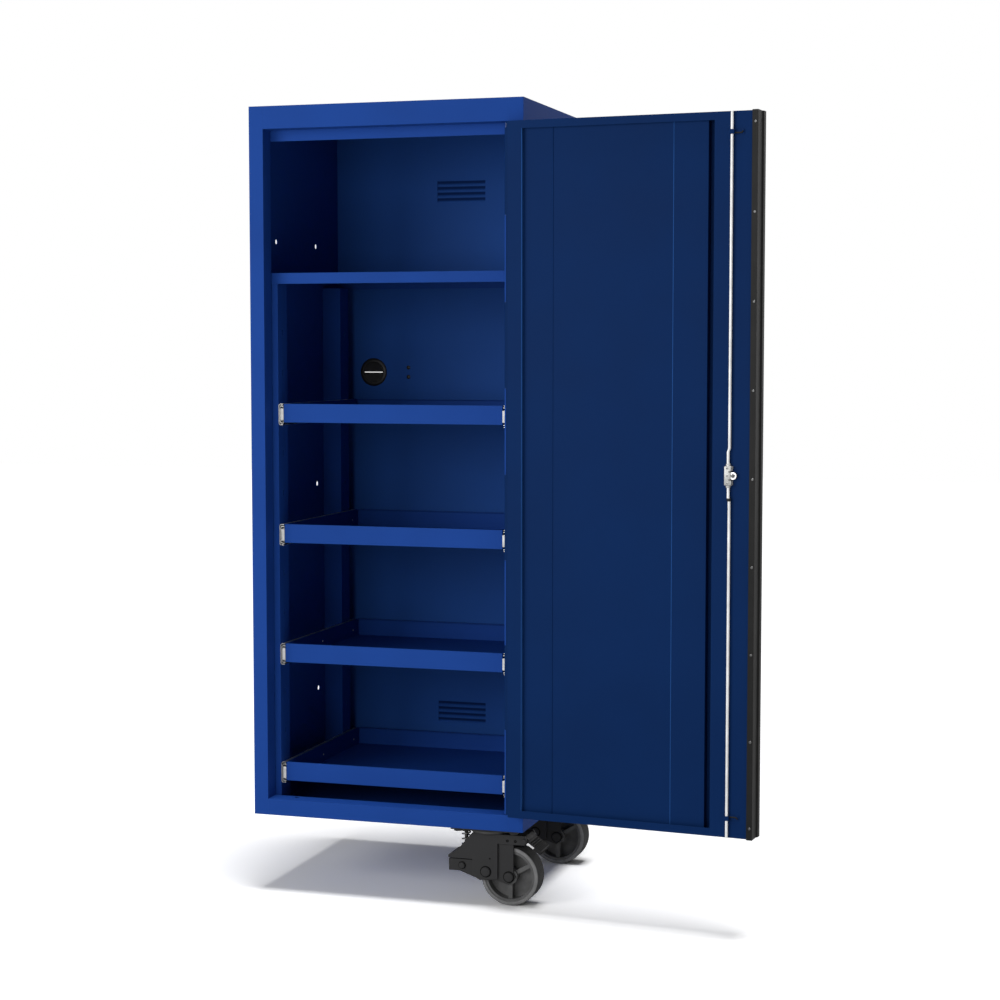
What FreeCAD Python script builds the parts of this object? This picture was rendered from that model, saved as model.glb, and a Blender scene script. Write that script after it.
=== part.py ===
import FreeCAD, Part
import math
import os
import re
import Sketcher
from types import SimpleNamespace

# Side locker for a tool chest: a tall steel cabinet that bolts to the chest by its left side and
# rolls on two sprung casters under its right side.
# The frame's origin is the centre of the four corner bolt holes, on the left side's outer face.
# X runs to the right, Y to the back and Z up. Lengths are millimetres.

doc = FreeCAD.newDocument("side_locker")
sheet = doc.addObject("Spreadsheet::Sheet", "Sizes")

SIZES = {
    # cabinet body
    "body_width": 609.6,
    "body_height": 1524.0,
    "body_depth": 508.0,
    "sheet": 1.5,
    "post_width": 32.0,
    "top_rail_height": 48.0,
    "bottom_rail_height": 35.0,
    "stop_height": 23.0,
    "rail_flange": 20.0,
    "rear_flange": 15.0,
    # bolt holes that join the locker to the chest
    "bolt_hole_radius": 5.5,
    "bolt_column_gap": 228.6,
    "bolt_low_height": 219.0,
    "bolt_mid_height": 698.0,
    "bolt_top_gap": 279.0,
    # back panel
    "louvre_length": 117.0,
    "louvre_depth": 5.5,
    "louvre_rise": 12.0,
    "louvre_lip": 2.0,
    "louvre_pitch": 13.0,
    "louvre_left": 251.0,
    "louvre_low": 128.0,
    "louvre_top_gap": 176.0,
    "grommet_x": 91.0,
    "grommet_drop": 195.0,
    "grommet_radius": 33.0,
    "grommet_rim": 10.0,
    "grommet_rim_thickness": 3.0,
    "brush_slit": 1.6,
    "tie_hole_radius": 3.5,
    "tie_hole_shift": 87.0,
    "tie_hole_gap": 22.0,
    # fixed shelf
    "upper_space": 374.0,
    "shelf_lip": 23.0,
    "shelf_hem": 12.0,
    "inner_gap": 2.0,
    # uprights that carry the slides
    "upright_reach": 43.5,
    "upright_width": 50.0,
    "upright_front_gap": 3.0,
    "upright_back_gap": 50.0,
    "upright_slot_width": 4.0,
    "upright_slot_height": 12.0,
    "upright_slot_pitch": 87.0,
    # roll-out trays and their slides
    "tray_height": 40.0,
    "tray_lowest": 69.0,
    "tray_top_space": 37.0,
    "tray_sheet": 1.2,
    "tray_hem": 7.0,
    "tray_back_gap": 26.0,
    "slide_end_gap": 10.0,
    "slide_thickness": 12.7,
    "slide_height": 46.0,
    "slide_sheet": 1.3,
    "slide_centre": 17.0,
    "slide_outer_depth": 10.0,
    "slide_middle_start": 2.5,
    "slide_middle_depth": 8.5,
    "slide_middle_step": 8.0,
    "slide_inner_depth": 7.5,
    "slide_inner_step": 12.0,
    "slide_corner": 3.0,
    # door
    "door_gap": 3.5,
    "door_free_gap": 5.5,
    "door_sheet": 1.2,
    "door_thickness": 28.0,
    "latch_space": 12.0,
    "door_step_width": 11.0,
    "door_step_depth": 8.0,
    "door_hinge_flange": 29.0,
    "door_end_flange": 16.0,
    "door_panel_gap": 0.3,
    "door_panel_recess": 9.0,
    "door_panel_slot": 14.5,
    "channel_width": 74.0,
    "channel_end_gap": 11.85,
    "channel_sheet": 1.2,
    "door_rest_angle": 175.0,
    # piano hinge
    "knuckle_radius": 3.75,
    "hinge_pin_radius": 1.6,
    "hinge_pin_clearance": 0.08,
    "hinge_leaf": 1.2,
    "hinge_leaf_width": 5.0,
    "knuckle_length": 178.0,
    "knuckle_gap": 0.6,
    "hinge_set_forward": 1.5,
    "hinge_leaf_stand_off": 0.6,
    # handle along the free edge
    "handle_wrap": 12.0,
    "handle_sheet": 2.0,
    "handle_lip": 15.0,
    "handle_lip_overhang": 3.0,
    "handle_pull_reach": 18.0,
    "handle_base_reach": 30.0,
    "handle_cap": 1.5,
    "screw_head_width": 6.0,
    "screw_head_height": 1.6,
    "screw_pitch": 175.0,
    "screw_end_gap": 22.0,
    # latch
    "rod_radius": 3.2,
    "rod_set_in": 37.5,
    "rod_stand_off": 5.0,
    "rod_end_gap": 1.0,
    "latch_case_width": 17.0,
    "latch_case_height": 50.0,
    "latch_case_depth": 12.0,
    "latch_case_shift": 2.0,
    "cam_shift": 7.5,
    "cam_radius": 7.5,
    "cam_clearance": 0.4,
    "cam_tail": 8.0,
    "lock_face": 2.5,
    "key_slot_width": 1.6,
    "key_slot_height": 8.0,
    "key_slot_depth": 4.0,
    "latch_case_sheet": 1.2,
    "rod_clearance": 0.4,
    "rod_inner_gap": 12.0,
    "guide_short_foot": 10.0,
    "guide_long_foot": 24.0,
    "guide_height": 9.0,
    "guide_sheet": 1.5,
    "guide_end_gap": 36.0,
    "strike_clearance": 2.0,
    # casters
    "caster_set_in": 89.6,
    "caster_front": 66.0,
    "caster_back_gap": 66.0,
    "plate_length": 150.0,
    "plate_width": 102.0,
    "plate_thickness": 6.0,
    "plate_hole_gap_x": 124.0,
    "plate_hole_gap_y": 76.0,
    "plate_bolt_radius": 5.0,
    "swivel_radius": 42.0,
    "swivel_height": 9.0,
    "swivel_clearance": 0.5,
    "kingpin_radius": 7.0,
    "fork_sheet": 4.0,
    "wheel_radius": 63.5,
    "wheel_width": 50.0,
    "tread": 9.0,
    "wheel_lead": 48.0,
    "axle_drop": 106.0,
    "axle_radius": 6.0,
    "hub_radius": 17.0,
    "pin_clearance": 0.05,
    "side_play": 1.0,
    "pivot_lead": 2.0,
    "pivot_drop": 97.0,
    "pivot_radius": 6.0,
    "spring_lead": 56.0,
    "ledge_drop": 66.0,
    "spring_radius": 9.0,
    "spring_wire": 2.6,
    "spring_turns": 4.0,
    "spring_clearance": 0.4,
    "draw_bolt_radius": 4.0,
    "draw_bolt_clearance": 3.0,
    "draw_bolt_top": 12.5,
    "draw_pin_drop": 88.0,
    "draw_pin_radius": 4.0,
    "nut_height": 7.0,
    "nut_width": 20.0,
    "head_ratio": 3.2,
    "bolt_head_height": 5.0,
    "fork_shoulder": 32.0,
    "fork_front": 24.0,
    "fork_top": 15.0,
    "fork_front_drop": 111.0,
    "fork_lug": 16.0,
    "fork_bottom": 116.0,
    "fork_lug_drop": 106.0,
    "ledge_reach": 86.0,
    "ledge_height": 6.0,
    "arm_top": 75.0,
    "arm_leg_top": 30.0,
    "arm_leg": 34.0,
    "arm_heel": 12.0,
    "arm_heel_drop": 100.0,
    "rim_width": 46.0,
    "rim_thickness": 5.0,
    "web_thickness": 6.0,
    "rib_width": 36.0,
    "rib_thickness": 9.0,
    "pedal_lead": 84.0,
    "pedal_height": 26.0,
    "pedal_pin_radius": 3.0,
    "pedal_slope": 35.0,
    "pedal_reach": 42.0,
    "pedal_thickness": 4.0,
    "pedal_pad": 18.0,
    "pedal_pad_thickness": 9.0,
    "pedal_groove": 1.8,
}

row = 1
for alias, size in SIZES.items():
    sheet.set("A%d" % row, alias)
    sheet.set("B%d" % row, str(size))
    sheet.setAlias("B%d" % row, alias)
    row += 1
doc.recompute()

# Lengths that follow from the sizes, each written with sizes and the lengths above it.
FOLLOWS = {
    "recess_depth": "door_thickness + latch_space",
    "shelf_height": "body_height - upper_space",
    "latch_height": "body_height / 2",
    "grommet_height": "shelf_height - grommet_drop",
    "bolt_high_height": "body_height - bolt_top_gap",
    "bolt_centre": "(bolt_low_height + bolt_high_height) / 2",
    "upright_front": "recess_depth + upright_front_gap",
    "upright_gap": "body_depth - upright_front - upright_width - upright_back_gap",
    "tray_front": "recess_depth + inner_gap",
    "tray_length": "body_depth - tray_front - tray_back_gap",
    "slide_span": "body_width - 2 * sheet - 2 * upright_reach",
    "slide_length": "tray_length - slide_end_gap",
    "slide_middle_height": "slide_height - slide_middle_step",
    "slide_inner_height": "slide_middle_height - slide_inner_step",
    "race_bend": "slide_corner + tan(22.5 deg) * slide_sheet",
    "tray_width": "slide_span - 2 * slide_thickness",
    "pin_x": "body_width - post_width - knuckle_radius",
    "door_turn": "(door_rest_angle - 180) * 1 deg",
    "door_bottom": "bottom_rail_height + door_gap",
    "door_height": "body_height - top_rail_height - door_gap - door_bottom",
    "free_edge": "body_width - 2 * post_width - knuckle_radius - door_free_gap",
    "thick_start": "knuckle_radius + door_step_width",
    "step_y": "door_thickness - door_step_depth",
    "channel_end": "free_edge - channel_end_gap",
    "channel_start": "channel_end - channel_width",
    "panel_start": "thick_start + door_hinge_flange + door_panel_gap",
    "panel_end": "channel_start - door_panel_slot",
    "rod_x": "channel_end - rod_set_in",
    "rod_slot": "rod_radius + rod_clearance",
    "cam_x": "rod_x + cam_shift",
    "case_left": "rod_x - latch_case_shift - latch_case_width / 2",
    "handle_edge": "free_edge + handle_sheet",
    "handle_lip_x": "handle_edge + handle_lip_overhang",
    "pull_y": "door_thickness + handle_sheet + handle_lip",
    "caster_gap": "body_depth - caster_front - caster_back_gap",
    "arm_inner": "wheel_width / 2 + side_play",
    "fork_inner": "arm_inner + side_play / 2 + fork_sheet",
    "rim_radius": "wheel_radius - tread",
    "spring_space": "ledge_drop - draw_bolt_top - nut_height - spring_wire - spring_clearance",
}
WORD = re.compile(r"[a-z][a-z_]+")


def bound(text):
    """Point the names in an expression at the sheet's cells."""
    def cell(match):
        name = match.group(0)
        if name in FOLLOWS:
            return "(%s)" % bound(FOLLOWS[name])
        return "Sizes." + name if name in SIZES else name
    return WORD.sub(cell, text)


# ---------------------------------------------------------------- drawing aids


def origin_plane(body, role):
    for feature in body.Origin.OriginFeatures:
        if feature.Role == role:
            return feature
    raise ValueError(role)


def new_body(name):
    body = doc.addObject("PartDesign::Body", name)
    body.Label = name
    body.AllowCompound = True
    return body


def new_sketch(body, role, lift=None):
    sketch = body.newObject("Sketcher::SketchObject", body.Name + "_sketch")
    sketch.AttachmentSupport = [(origin_plane(body, role), "")]
    sketch.MapMode = "FlatFace"
    if lift:
        sketch.setExpression("AttachmentOffset.Base.z", bound(lift))
    return sketch


def pin_point(sketch, geometry, point, x, y):
    """Hold one point of a sketch at x, y, both given as expressions of the sizes."""
    for kind, axis, text in (("DistanceX", -2, x), ("DistanceY", -1, y)):
        if text == "0":
            sketch.addConstraint(Sketcher.Constraint("PointOnObject", geometry, point, axis))
        else:
            index = sketch.addConstraint(Sketcher.Constraint(kind, -1, 1, geometry, point, 10.0))
            sketch.setExpression("Constraints[%d]" % index, bound(text))


def outline(sketch, points):
    """A closed outline whose corners are pairs of expressions."""
    count = len(points)
    first = sketch.GeometryCount
    ring = []
    for k in range(count):
        turn = 2 * math.pi * k / count
        ring.append(FreeCAD.Vector(200 + 100 * math.cos(turn), 200 + 100 * math.sin(turn), 0))
    for k in range(count):
        sketch.addGeometry(Part.LineSegment(ring[k], ring[(k + 1) % count]), False)
    for k in range(count):
        after = first + (k + 1) % count
        sketch.addConstraint(Sketcher.Constraint("Coincident", first + k, 2, after, 1))
    for k, (x, y) in enumerate(points):
        pin_point(sketch, first + k, 1, x, y)


def rectangle(sketch, x_low, y_low, x_high, y_high):
    outline(sketch, [(x_low, y_low), (x_high, y_low), (x_high, y_high), (x_low, y_high)])


def circle(sketch, x, y, radius):
    index = sketch.addGeometry(Part.Circle(FreeCAD.Vector(50, 50, 0), FreeCAD.Vector(0, 0, 1), 5), False)
    pin_point(sketch, index, 3, x, y)
    ring = sketch.addConstraint(Sketcher.Constraint("Radius", index, 5.0))
    sketch.setExpression("Constraints[%d]" % ring, bound(radius))


def square(sketch, x, y, half):
    """A square given by its middle and half its width."""
    rectangle(sketch, "%s - (%s)" % (x, half), "%s - (%s)" % (y, half),
              "%s + (%s)" % (x, half), "%s + (%s)" % (y, half))


def hexagon(sketch, x, y, width):
    """A hexagon measured across its flats, which stand upright."""
    half, short, long = "(%s) / 2" % width, "(%s) / sqrt(12)" % width, "(%s) / sqrt(3)" % width
    corners = [(half, short), ("0", long), ("-" + half, short), ("-" + half, "-" + short),
               ("0", "-" + long), (half, "-" + short)]
    outline(sketch, [("%s + (%s)" % (x, right), "%s + (%s)" % (y, up)) for right, up in corners])


def pad(body, sketch, length, backwards=False):
    feature = body.newObject("PartDesign::Pad", body.Name + "_pad")
    feature.Profile = sketch
    feature.setExpression("Length", bound(length))
    feature.Reversed = backwards
    return feature


def pocket(body, sketch, length=None, backwards=False):
    """Cut to a length, or right through both ways when no length is given."""
    feature = body.newObject("PartDesign::Pocket", body.Name + "_pocket")
    feature.Profile = sketch
    if length is None:
        feature.Type = "ThroughAll"
        feature.Midplane = True
    else:
        feature.setExpression("Length", bound(length))
        feature.Reversed = backwards
    return feature


def repeat(body, features, axis_sketch, axis, length, count):
    pattern = body.newObject("PartDesign::LinearPattern", body.Name + "_pattern")
    pattern.Originals = features
    pattern.Direction = (axis_sketch, [axis])
    pattern.setExpression("Length", bound(length))
    pattern.Occurrences = count
    body.Tip = pattern
    return pattern


s = SimpleNamespace(**SIZES)
nodes = []


def keep(piece, x="0", y="0", z="0"):
    """Place a sub-part in the cabinet: x from its left, y from its front and z from its floor."""
    piece.setExpression("Placement.Base.x", bound(x))
    piece.setExpression("Placement.Base.y", bound("%s - body_depth / 2" % y))
    piece.setExpression("Placement.Base.z", bound("%s - bolt_centre" % z))
    nodes.append(piece)


def keep_on_door(piece, x="0", y="0", z="0"):
    """Place a sub-part on the open door: x from the hinge pin, y outwards from the inner face."""
    out = "(%s - door_thickness - hinge_set_forward)" % y
    right = "pin_x + (%s) * cos(door_turn) - %s * sin(door_turn)" % (x, out)
    back = "(%s) * sin(door_turn) + %s * cos(door_turn) - hinge_set_forward" % (x, out)
    keep(piece, right, back, z)
    piece.Placement.Rotation = FreeCAD.Rotation(FreeCAD.Vector(0, 0, 1), s.door_rest_angle)
    piece.setExpression("Placement.Rotation.Angle", bound("(180 + door_rest_angle) * 1 deg"))


# ---------------------------------------------------------------- cabinet shell
# Folded steel panels: each side carries its own front post and inner return.

left = new_body("left_side_panel")
section = new_sketch(left, "XY_Plane")
outline(section, [
    ("0", "0"), ("post_width", "0"), ("post_width", "recess_depth"),
    ("post_width - sheet", "recess_depth"), ("post_width - sheet", "sheet"), ("sheet", "sheet"),
    ("sheet", "body_depth - sheet"), ("rear_flange", "body_depth - sheet"),
    ("rear_flange", "body_depth"), ("0", "body_depth")])
pad(left, section, "body_height - 2 * sheet")
bolt_holes = new_sketch(left, "YZ_Plane")
for column in ("body_depth / 2 - bolt_column_gap / 2", "body_depth / 2 + bolt_column_gap / 2"):
    for height in ("bolt_low_height", "bolt_mid_height", "bolt_high_height"):
        circle(bolt_holes, column, height + " - sheet", "bolt_hole_radius")
pocket(left, bolt_holes)
keep(left, z="sheet")

right = new_body("right_side_panel")
section = new_sketch(right, "XY_Plane")
outline(section, [
    ("0", "0"), ("post_width", "0"), ("post_width", "body_depth"),
    ("post_width - rear_flange", "body_depth"), ("post_width - rear_flange", "body_depth - sheet"),
    ("post_width - sheet", "body_depth - sheet"), ("post_width - sheet", "sheet"),
    ("sheet", "sheet"), ("sheet", "recess_depth"), ("0", "recess_depth")])
pad(right, section, "body_height - 2 * sheet")
keep(right, x="body_width - post_width", z="sheet")


def cover(name, z):
    panel = new_body(name)
    sheet_outline = new_sketch(panel, "XY_Plane")
    rectangle(sheet_outline, "0", "0", "body_width", "body_depth")
    pad(panel, sheet_outline, "sheet")
    keep(panel, z=z)


cover("top_panel", "body_height - sheet")
cover("base_panel", "0")


def strike_hole(rail):
    """A square hole in a rail for the end of a latch rod."""
    hole = new_sketch(rail, "XY_Plane")
    square(hole, "pin_x - post_width - rod_x", "door_thickness + rod_stand_off",
           "rod_radius + strike_clearance")
    pocket(rail, hole)


# Each rail is a front face, a return that the door shuts against and a stop behind it.
rail = new_body("top_rail")
section = new_sketch(rail, "YZ_Plane")
outline(section, [
    ("0", "stop_height"), ("recess_depth", "stop_height"), ("recess_depth", "0"),
    ("recess_depth + sheet", "0"), ("recess_depth + sheet", "stop_height + sheet"),
    ("sheet", "stop_height + sheet"),
    ("sheet", "stop_height + top_rail_height - 2 * sheet"),
    ("rail_flange", "stop_height + top_rail_height - 2 * sheet"),
    ("rail_flange", "stop_height + top_rail_height - sheet"),
    ("0", "stop_height + top_rail_height - sheet")])
pad(rail, section, "body_width - 2 * post_width")
strike_hole(rail)
keep(rail, x="post_width", z="body_height - top_rail_height - stop_height")

rail = new_body("bottom_rail")
section = new_sketch(rail, "YZ_Plane")
outline(section, [
    ("0", "0"), ("rail_flange", "0"), ("rail_flange", "sheet"), ("sheet", "sheet"),
    ("sheet", "bottom_rail_height - 2 * sheet"), ("recess_depth", "bottom_rail_height - 2 * sheet"),
    ("recess_depth", "0"), ("recess_depth + sheet", "0"),
    ("recess_depth + sheet", "bottom_rail_height - sheet"), ("0", "bottom_rail_height - sheet")])
pad(rail, section, "body_width - 2 * post_width")
strike_hole(rail)
keep(rail, x="post_width", z="sheet")

back = new_body("back_panel")
face = new_sketch(back, "XZ_Plane")
rectangle(face, "0", "0", "body_width - 2 * sheet", "body_height - 2 * sheet")
pad(back, face, "sheet", backwards=True)
holes = new_sketch(back, "XZ_Plane")
circle(holes, "grommet_x - sheet", "grommet_height - sheet", "grommet_radius - grommet_rim")
for k in (-1, 1):
    circle(holes, "grommet_x + tie_hole_shift - sheet",
           "grommet_height - sheet + %d * tie_hole_gap / 2" % k, "tie_hole_radius")
pocket(back, holes)

# Each louvre is a slot under a sloping hood that is pressed out to the back and closed at its ends.
LOUVRES = 4
for lowest in ("louvre_low - sheet", "body_height - louvre_top_gap - sheet"):
    slot = new_sketch(back, "XZ_Plane")
    rectangle(slot, "louvre_left - sheet", lowest + " + louvre_lip",
              "louvre_left - sheet + louvre_length", lowest + " + louvre_rise")
    parts = [pocket(back, slot)]
    hood = new_sketch(back, "YZ_Plane", lift="louvre_left - 2 * sheet")
    outline(hood, [
        ("0", lowest + " + louvre_rise"), ("louvre_depth", lowest),
        ("sheet + louvre_depth", lowest), ("sheet", lowest + " + louvre_rise")])
    parts.append(pad(back, hood, "louvre_length + 2 * sheet"))
    for end in ("louvre_left - 2 * sheet", "louvre_left + louvre_length - sheet"):
        side = new_sketch(back, "YZ_Plane", lift=end)
        outline(side, [("sheet", lowest), ("sheet + louvre_depth", lowest),
                       ("sheet", lowest + " + louvre_rise")])
        parts.append(pad(back, side, "sheet"))
    repeat(back, parts, slot, "V_Axis", "(%d) * louvre_pitch" % (LOUVRES - 1), LOUVRES)
keep(back, x="sheet", y="body_depth - 2 * sheet", z="sheet")

# The grommet's rim covers the edge of the cable hole, and a split brush closes it.
rim = new_body("cable_grommet")
section = new_sketch(rim, "XZ_Plane")
circle(section, "0", "0", "grommet_radius")
circle(section, "0", "0", "grommet_radius - grommet_rim")
pad(rim, section, "grommet_rim_thickness")
keep(rim, x="grommet_x", y="body_depth - 2 * sheet", z="grommet_height")

brush = new_body("grommet_brush")
halves = new_sketch(brush, "XZ_Plane")
circle(halves, "0", "0", "grommet_radius - grommet_rim")
pad(brush, halves, "sheet", backwards=True)
slit = new_sketch(brush, "XZ_Plane")
rectangle(slit, "-grommet_radius", "-brush_slit / 2", "grommet_radius", "brush_slit / 2")
pocket(brush, slit)
keep(brush, x="grommet_x", y="body_depth - 2 * sheet", z="grommet_height")

shelf = new_body("fixed_shelf")
section = new_sketch(shelf, "YZ_Plane")
reach = "body_depth - 3 * sheet - tray_front"
outline(section, [
    ("0", "0"), ("shelf_hem", "0"), ("shelf_hem", "sheet"), ("sheet", "sheet"),
    ("sheet", "shelf_lip - sheet"), (reach + " - sheet", "shelf_lip - sheet"),
    (reach + " - sheet", "0"), (reach, "0"), (reach, "shelf_lip"), ("0", "shelf_lip")])
pad(shelf, section, "body_width - 2 * sheet")
keep(shelf, x="sheet", y="tray_front", z="shelf_height")

# ---------------------------------------------------------------- uprights and slides
# Two channels on each side stand from the floor to the shelf and carry the slides.


def uprights(name, x, mirrored):
    channels = new_body(name)
    section = new_sketch(channels, "XY_Plane")
    if mirrored:
        wall, face, inner = "upright_reach", "0", "sheet"
    else:
        wall, face, inner = "0", "upright_reach", "upright_reach - sheet"
    outline(section, [
        (wall, "0"), (face, "0"), (face, "upright_width"), (wall, "upright_width"),
        (wall, "upright_width - sheet"), (inner, "upright_width - sheet"),
        (inner, "sheet"), (wall, "sheet")])
    channel = pad(channels, section, "shelf_height - sheet")
    repeat(channels, [channel], section, "V_Axis", "upright_gap", 2)
    slots = new_sketch(channels, "YZ_Plane")
    for column in ("upright_width / 2", "upright_gap + upright_width / 2"):
        rectangle(slots, column + " - upright_slot_width / 2",
                  "upright_slot_pitch - upright_slot_height / 2",
                  column + " + upright_slot_width / 2",
                  "upright_slot_pitch + upright_slot_height / 2")
    cut = pocket(channels, slots)
    count = int((s.body_height - s.upper_space) // s.upright_slot_pitch) - 1
    repeat(channels, [cut], slots, "V_Axis", "(%d) * upright_slot_pitch" % (count - 1), count)
    keep(channels, x=x, y="upright_front", z="sheet")


uprights("left_uprights", "sheet", False)
uprights("right_uprights", "body_width - sheet - upright_reach", True)

TRAYS = 4
FOLLOWS["tray_pitch"] = "(shelf_height - tray_lowest - tray_top_space) / %d" % TRAYS


def slide_member(name, start, depth, height, opens_in, z_low):
    """A pair of channels with bent races, one at each side of a tray, across the width of the slides."""
    pair = new_body(name)
    section = new_sketch(pair, "XZ_Plane")
    low = "(slide_height / 2 - %s / 2)" % height
    high = "(slide_height / 2 + %s / 2)" % height
    web, lips, way = (start, "(%s + %s)" % (start, depth), "+") if opens_in else (
        "(%s + %s)" % (start, depth), start, "-")
    for side in (0, 1):
        corners = [
            (web, low + " + slide_corner"), ("%s %s slide_corner" % (web, way), low), (lips, low),
            (lips, low + " + slide_sheet"), ("%s %s race_bend" % (web, way), low + " + slide_sheet"),
            ("%s %s slide_sheet" % (web, way), low + " + race_bend"),
            ("%s %s slide_sheet" % (web, way), high + " - race_bend"),
            ("%s %s race_bend" % (web, way), high + " - slide_sheet"), (lips, high + " - slide_sheet"),
            (lips, high), ("%s %s slide_corner" % (web, way), high), (web, high + " - slide_corner")]
        if side:
            corners = [("slide_span - (%s)" % x, y) for x, y in corners]
        outline(section, corners)
    channel = pad(pair, section, "slide_length", backwards=True)
    keep(pair, x="sheet + upright_reach", y="tray_front + tray_sheet", z=z_low)
    return pair, section, channel


first_slide = "tray_lowest + slide_centre - slide_height / 2"
fixed, section, channel = slide_member(
    "slide_cabinet_members", "0", "slide_outer_depth", "slide_height", True, first_slide)
repeat(fixed, [channel], section, "V_Axis", "(%d) * tray_pitch" % (TRAYS - 1), TRAYS)

for k in range(TRAYS):
    number = TRAYS - k
    rise = "%d * tray_pitch" % k
    slide_z = "%s + %s" % (first_slide, rise)
    slide_member("tray_%d_middle_slides" % number, "slide_middle_start", "slide_middle_depth",
                 "slide_middle_height", True, slide_z)
    slide_member("tray_%d_inner_slides" % number, "(slide_thickness - slide_inner_depth)",
                 "slide_inner_depth", "slide_inner_height", False, slide_z)
    # The tray is a folded pan whose front and back walls are hemmed inwards.
    tray = new_body("tray_%d" % number)
    section = new_sketch(tray, "YZ_Plane")
    outline(section, [
        ("0", "0"), ("tray_length", "0"), ("tray_length", "tray_height"),
        ("tray_length - tray_hem", "tray_height"), ("tray_length - tray_hem", "tray_height - tray_sheet"),
        ("tray_length - tray_sheet", "tray_height - tray_sheet"), ("tray_length - tray_sheet", "tray_sheet"),
        ("tray_sheet", "tray_sheet"), ("tray_sheet", "tray_height - tray_sheet"),
        ("tray_hem", "tray_height - tray_sheet"), ("tray_hem", "tray_height"), ("0", "tray_height")])
    pad(tray, section, "tray_width")
    for wall in ("0", "tray_width - tray_sheet"):
        side = new_sketch(tray, "YZ_Plane", lift=wall)
        rectangle(side, "0", "0", "tray_length", "tray_height")
        pad(tray, side, "tray_sheet")
    keep(tray, x="sheet + upright_reach + slide_thickness", y="tray_front", z="tray_lowest + " + rise)

# ---------------------------------------------------------------- door
pan = new_body("door_pan")
section = new_sketch(pan, "XY_Plane")
outline(section, [
    ("knuckle_radius", "door_thickness"), ("free_edge", "door_thickness"), ("free_edge", "0"),
    ("channel_end", "0"), ("channel_end", "door_sheet"), ("free_edge - door_sheet", "door_sheet"),
    ("free_edge - door_sheet", "door_thickness - door_sheet"),
    ("knuckle_radius + door_sheet", "door_thickness - door_sheet"),
    ("knuckle_radius + door_sheet", "step_y + door_sheet"),
    ("thick_start + door_sheet", "step_y + door_sheet"),
    ("thick_start + door_sheet", "door_sheet"),
    ("thick_start + door_hinge_flange", "door_sheet"),
    ("thick_start + door_hinge_flange", "0"), ("thick_start", "0"), ("thick_start", "step_y"),
    ("knuckle_radius", "step_y")])
pad(pan, section, "door_height")
for lift in (None, "door_height - door_sheet"):
    end = new_sketch(pan, "XY_Plane", lift=lift)
    outline(end, [
        ("knuckle_radius", "door_thickness"), ("free_edge", "door_thickness"), ("free_edge", "0"),
        ("thick_start", "0"), ("thick_start", "step_y"), ("knuckle_radius", "step_y")])
    pad(pan, end, "door_sheet")
flanges = new_sketch(pan, "XZ_Plane")
rectangle(flanges, "thick_start", "0", "channel_start", "door_end_flange")
rectangle(flanges, "thick_start", "door_height - door_end_flange", "channel_start", "door_height")
pad(pan, flanges, "door_sheet", backwards=True)
lock_hole = new_sketch(pan, "XZ_Plane")
circle(lock_hole, "cam_x", "latch_height - door_bottom", "cam_radius + cam_clearance")
pocket(pan, lock_hole)
keep_on_door(pan, z="door_bottom")

stiffener = new_body("door_inner_panel")
section = new_sketch(stiffener, "XY_Plane")
outline(section, [
    ("panel_start", "door_panel_recess"), ("panel_end", "door_panel_recess"),
    ("panel_end", "door_thickness - door_sheet"),
    ("panel_end - door_sheet", "door_thickness - door_sheet"),
    ("panel_end - door_sheet", "door_panel_recess + door_sheet"),
    ("panel_start + door_sheet", "door_panel_recess + door_sheet"),
    ("panel_start + door_sheet", "door_thickness - door_sheet"),
    ("panel_start", "door_thickness - door_sheet")])
pad(stiffener, section, "door_height - 2 * door_sheet")
keep_on_door(stiffener, z="door_bottom + door_sheet")

channel = new_body("door_latch_channel")
section = new_sketch(channel, "XY_Plane")
outline(section, [
    ("channel_start", "0"), ("channel_end", "0"), ("channel_end", "door_thickness - door_sheet"),
    ("channel_end - channel_sheet", "door_thickness - door_sheet"),
    ("channel_end - channel_sheet", "channel_sheet"),
    ("channel_start + channel_sheet", "channel_sheet"),
    ("channel_start + channel_sheet", "door_thickness - door_sheet"),
    ("channel_start", "door_thickness - door_sheet")])
pad(channel, section, "door_height - 2 * door_sheet")
lock_hole = new_sketch(channel, "XZ_Plane")
circle(lock_hole, "cam_x", "latch_height - door_bottom - door_sheet", "cam_radius + cam_clearance")
pocket(channel, lock_hole)
keep_on_door(channel, z="door_bottom + door_sheet")

# The handle is one extrusion: it wraps the free edge and stands out as a pull on the front.
handle = new_body("door_handle")
section = new_sketch(handle, "XY_Plane")
outline(section, [
    ("free_edge - handle_wrap + handle_sheet", "0"), ("handle_edge", "0"),
    ("handle_edge", "handle_sheet + door_thickness"),
    ("handle_lip_x", "handle_sheet + door_thickness + handle_lip_overhang"),
    ("handle_lip_x", "handle_sheet + pull_y"),
    ("free_edge - handle_pull_reach", "handle_sheet + pull_y"),
    ("free_edge - handle_pull_reach", "pull_y"), ("handle_lip_x - handle_sheet", "pull_y"),
    ("handle_lip_x - handle_sheet", "door_thickness + 2 * handle_sheet + handle_lip_overhang"),
    ("handle_edge - handle_sheet / 2", "door_thickness + 2 * handle_sheet"),
    ("free_edge - handle_base_reach", "door_thickness + 2 * handle_sheet"),
    ("free_edge - handle_base_reach", "door_thickness + handle_sheet"),
    ("free_edge", "door_thickness + handle_sheet"), ("free_edge", "handle_sheet"),
    ("free_edge - handle_wrap + handle_sheet", "handle_sheet")])
pad(handle, section, "door_height")
keep_on_door(handle, y="-handle_sheet", z="door_bottom")

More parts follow.
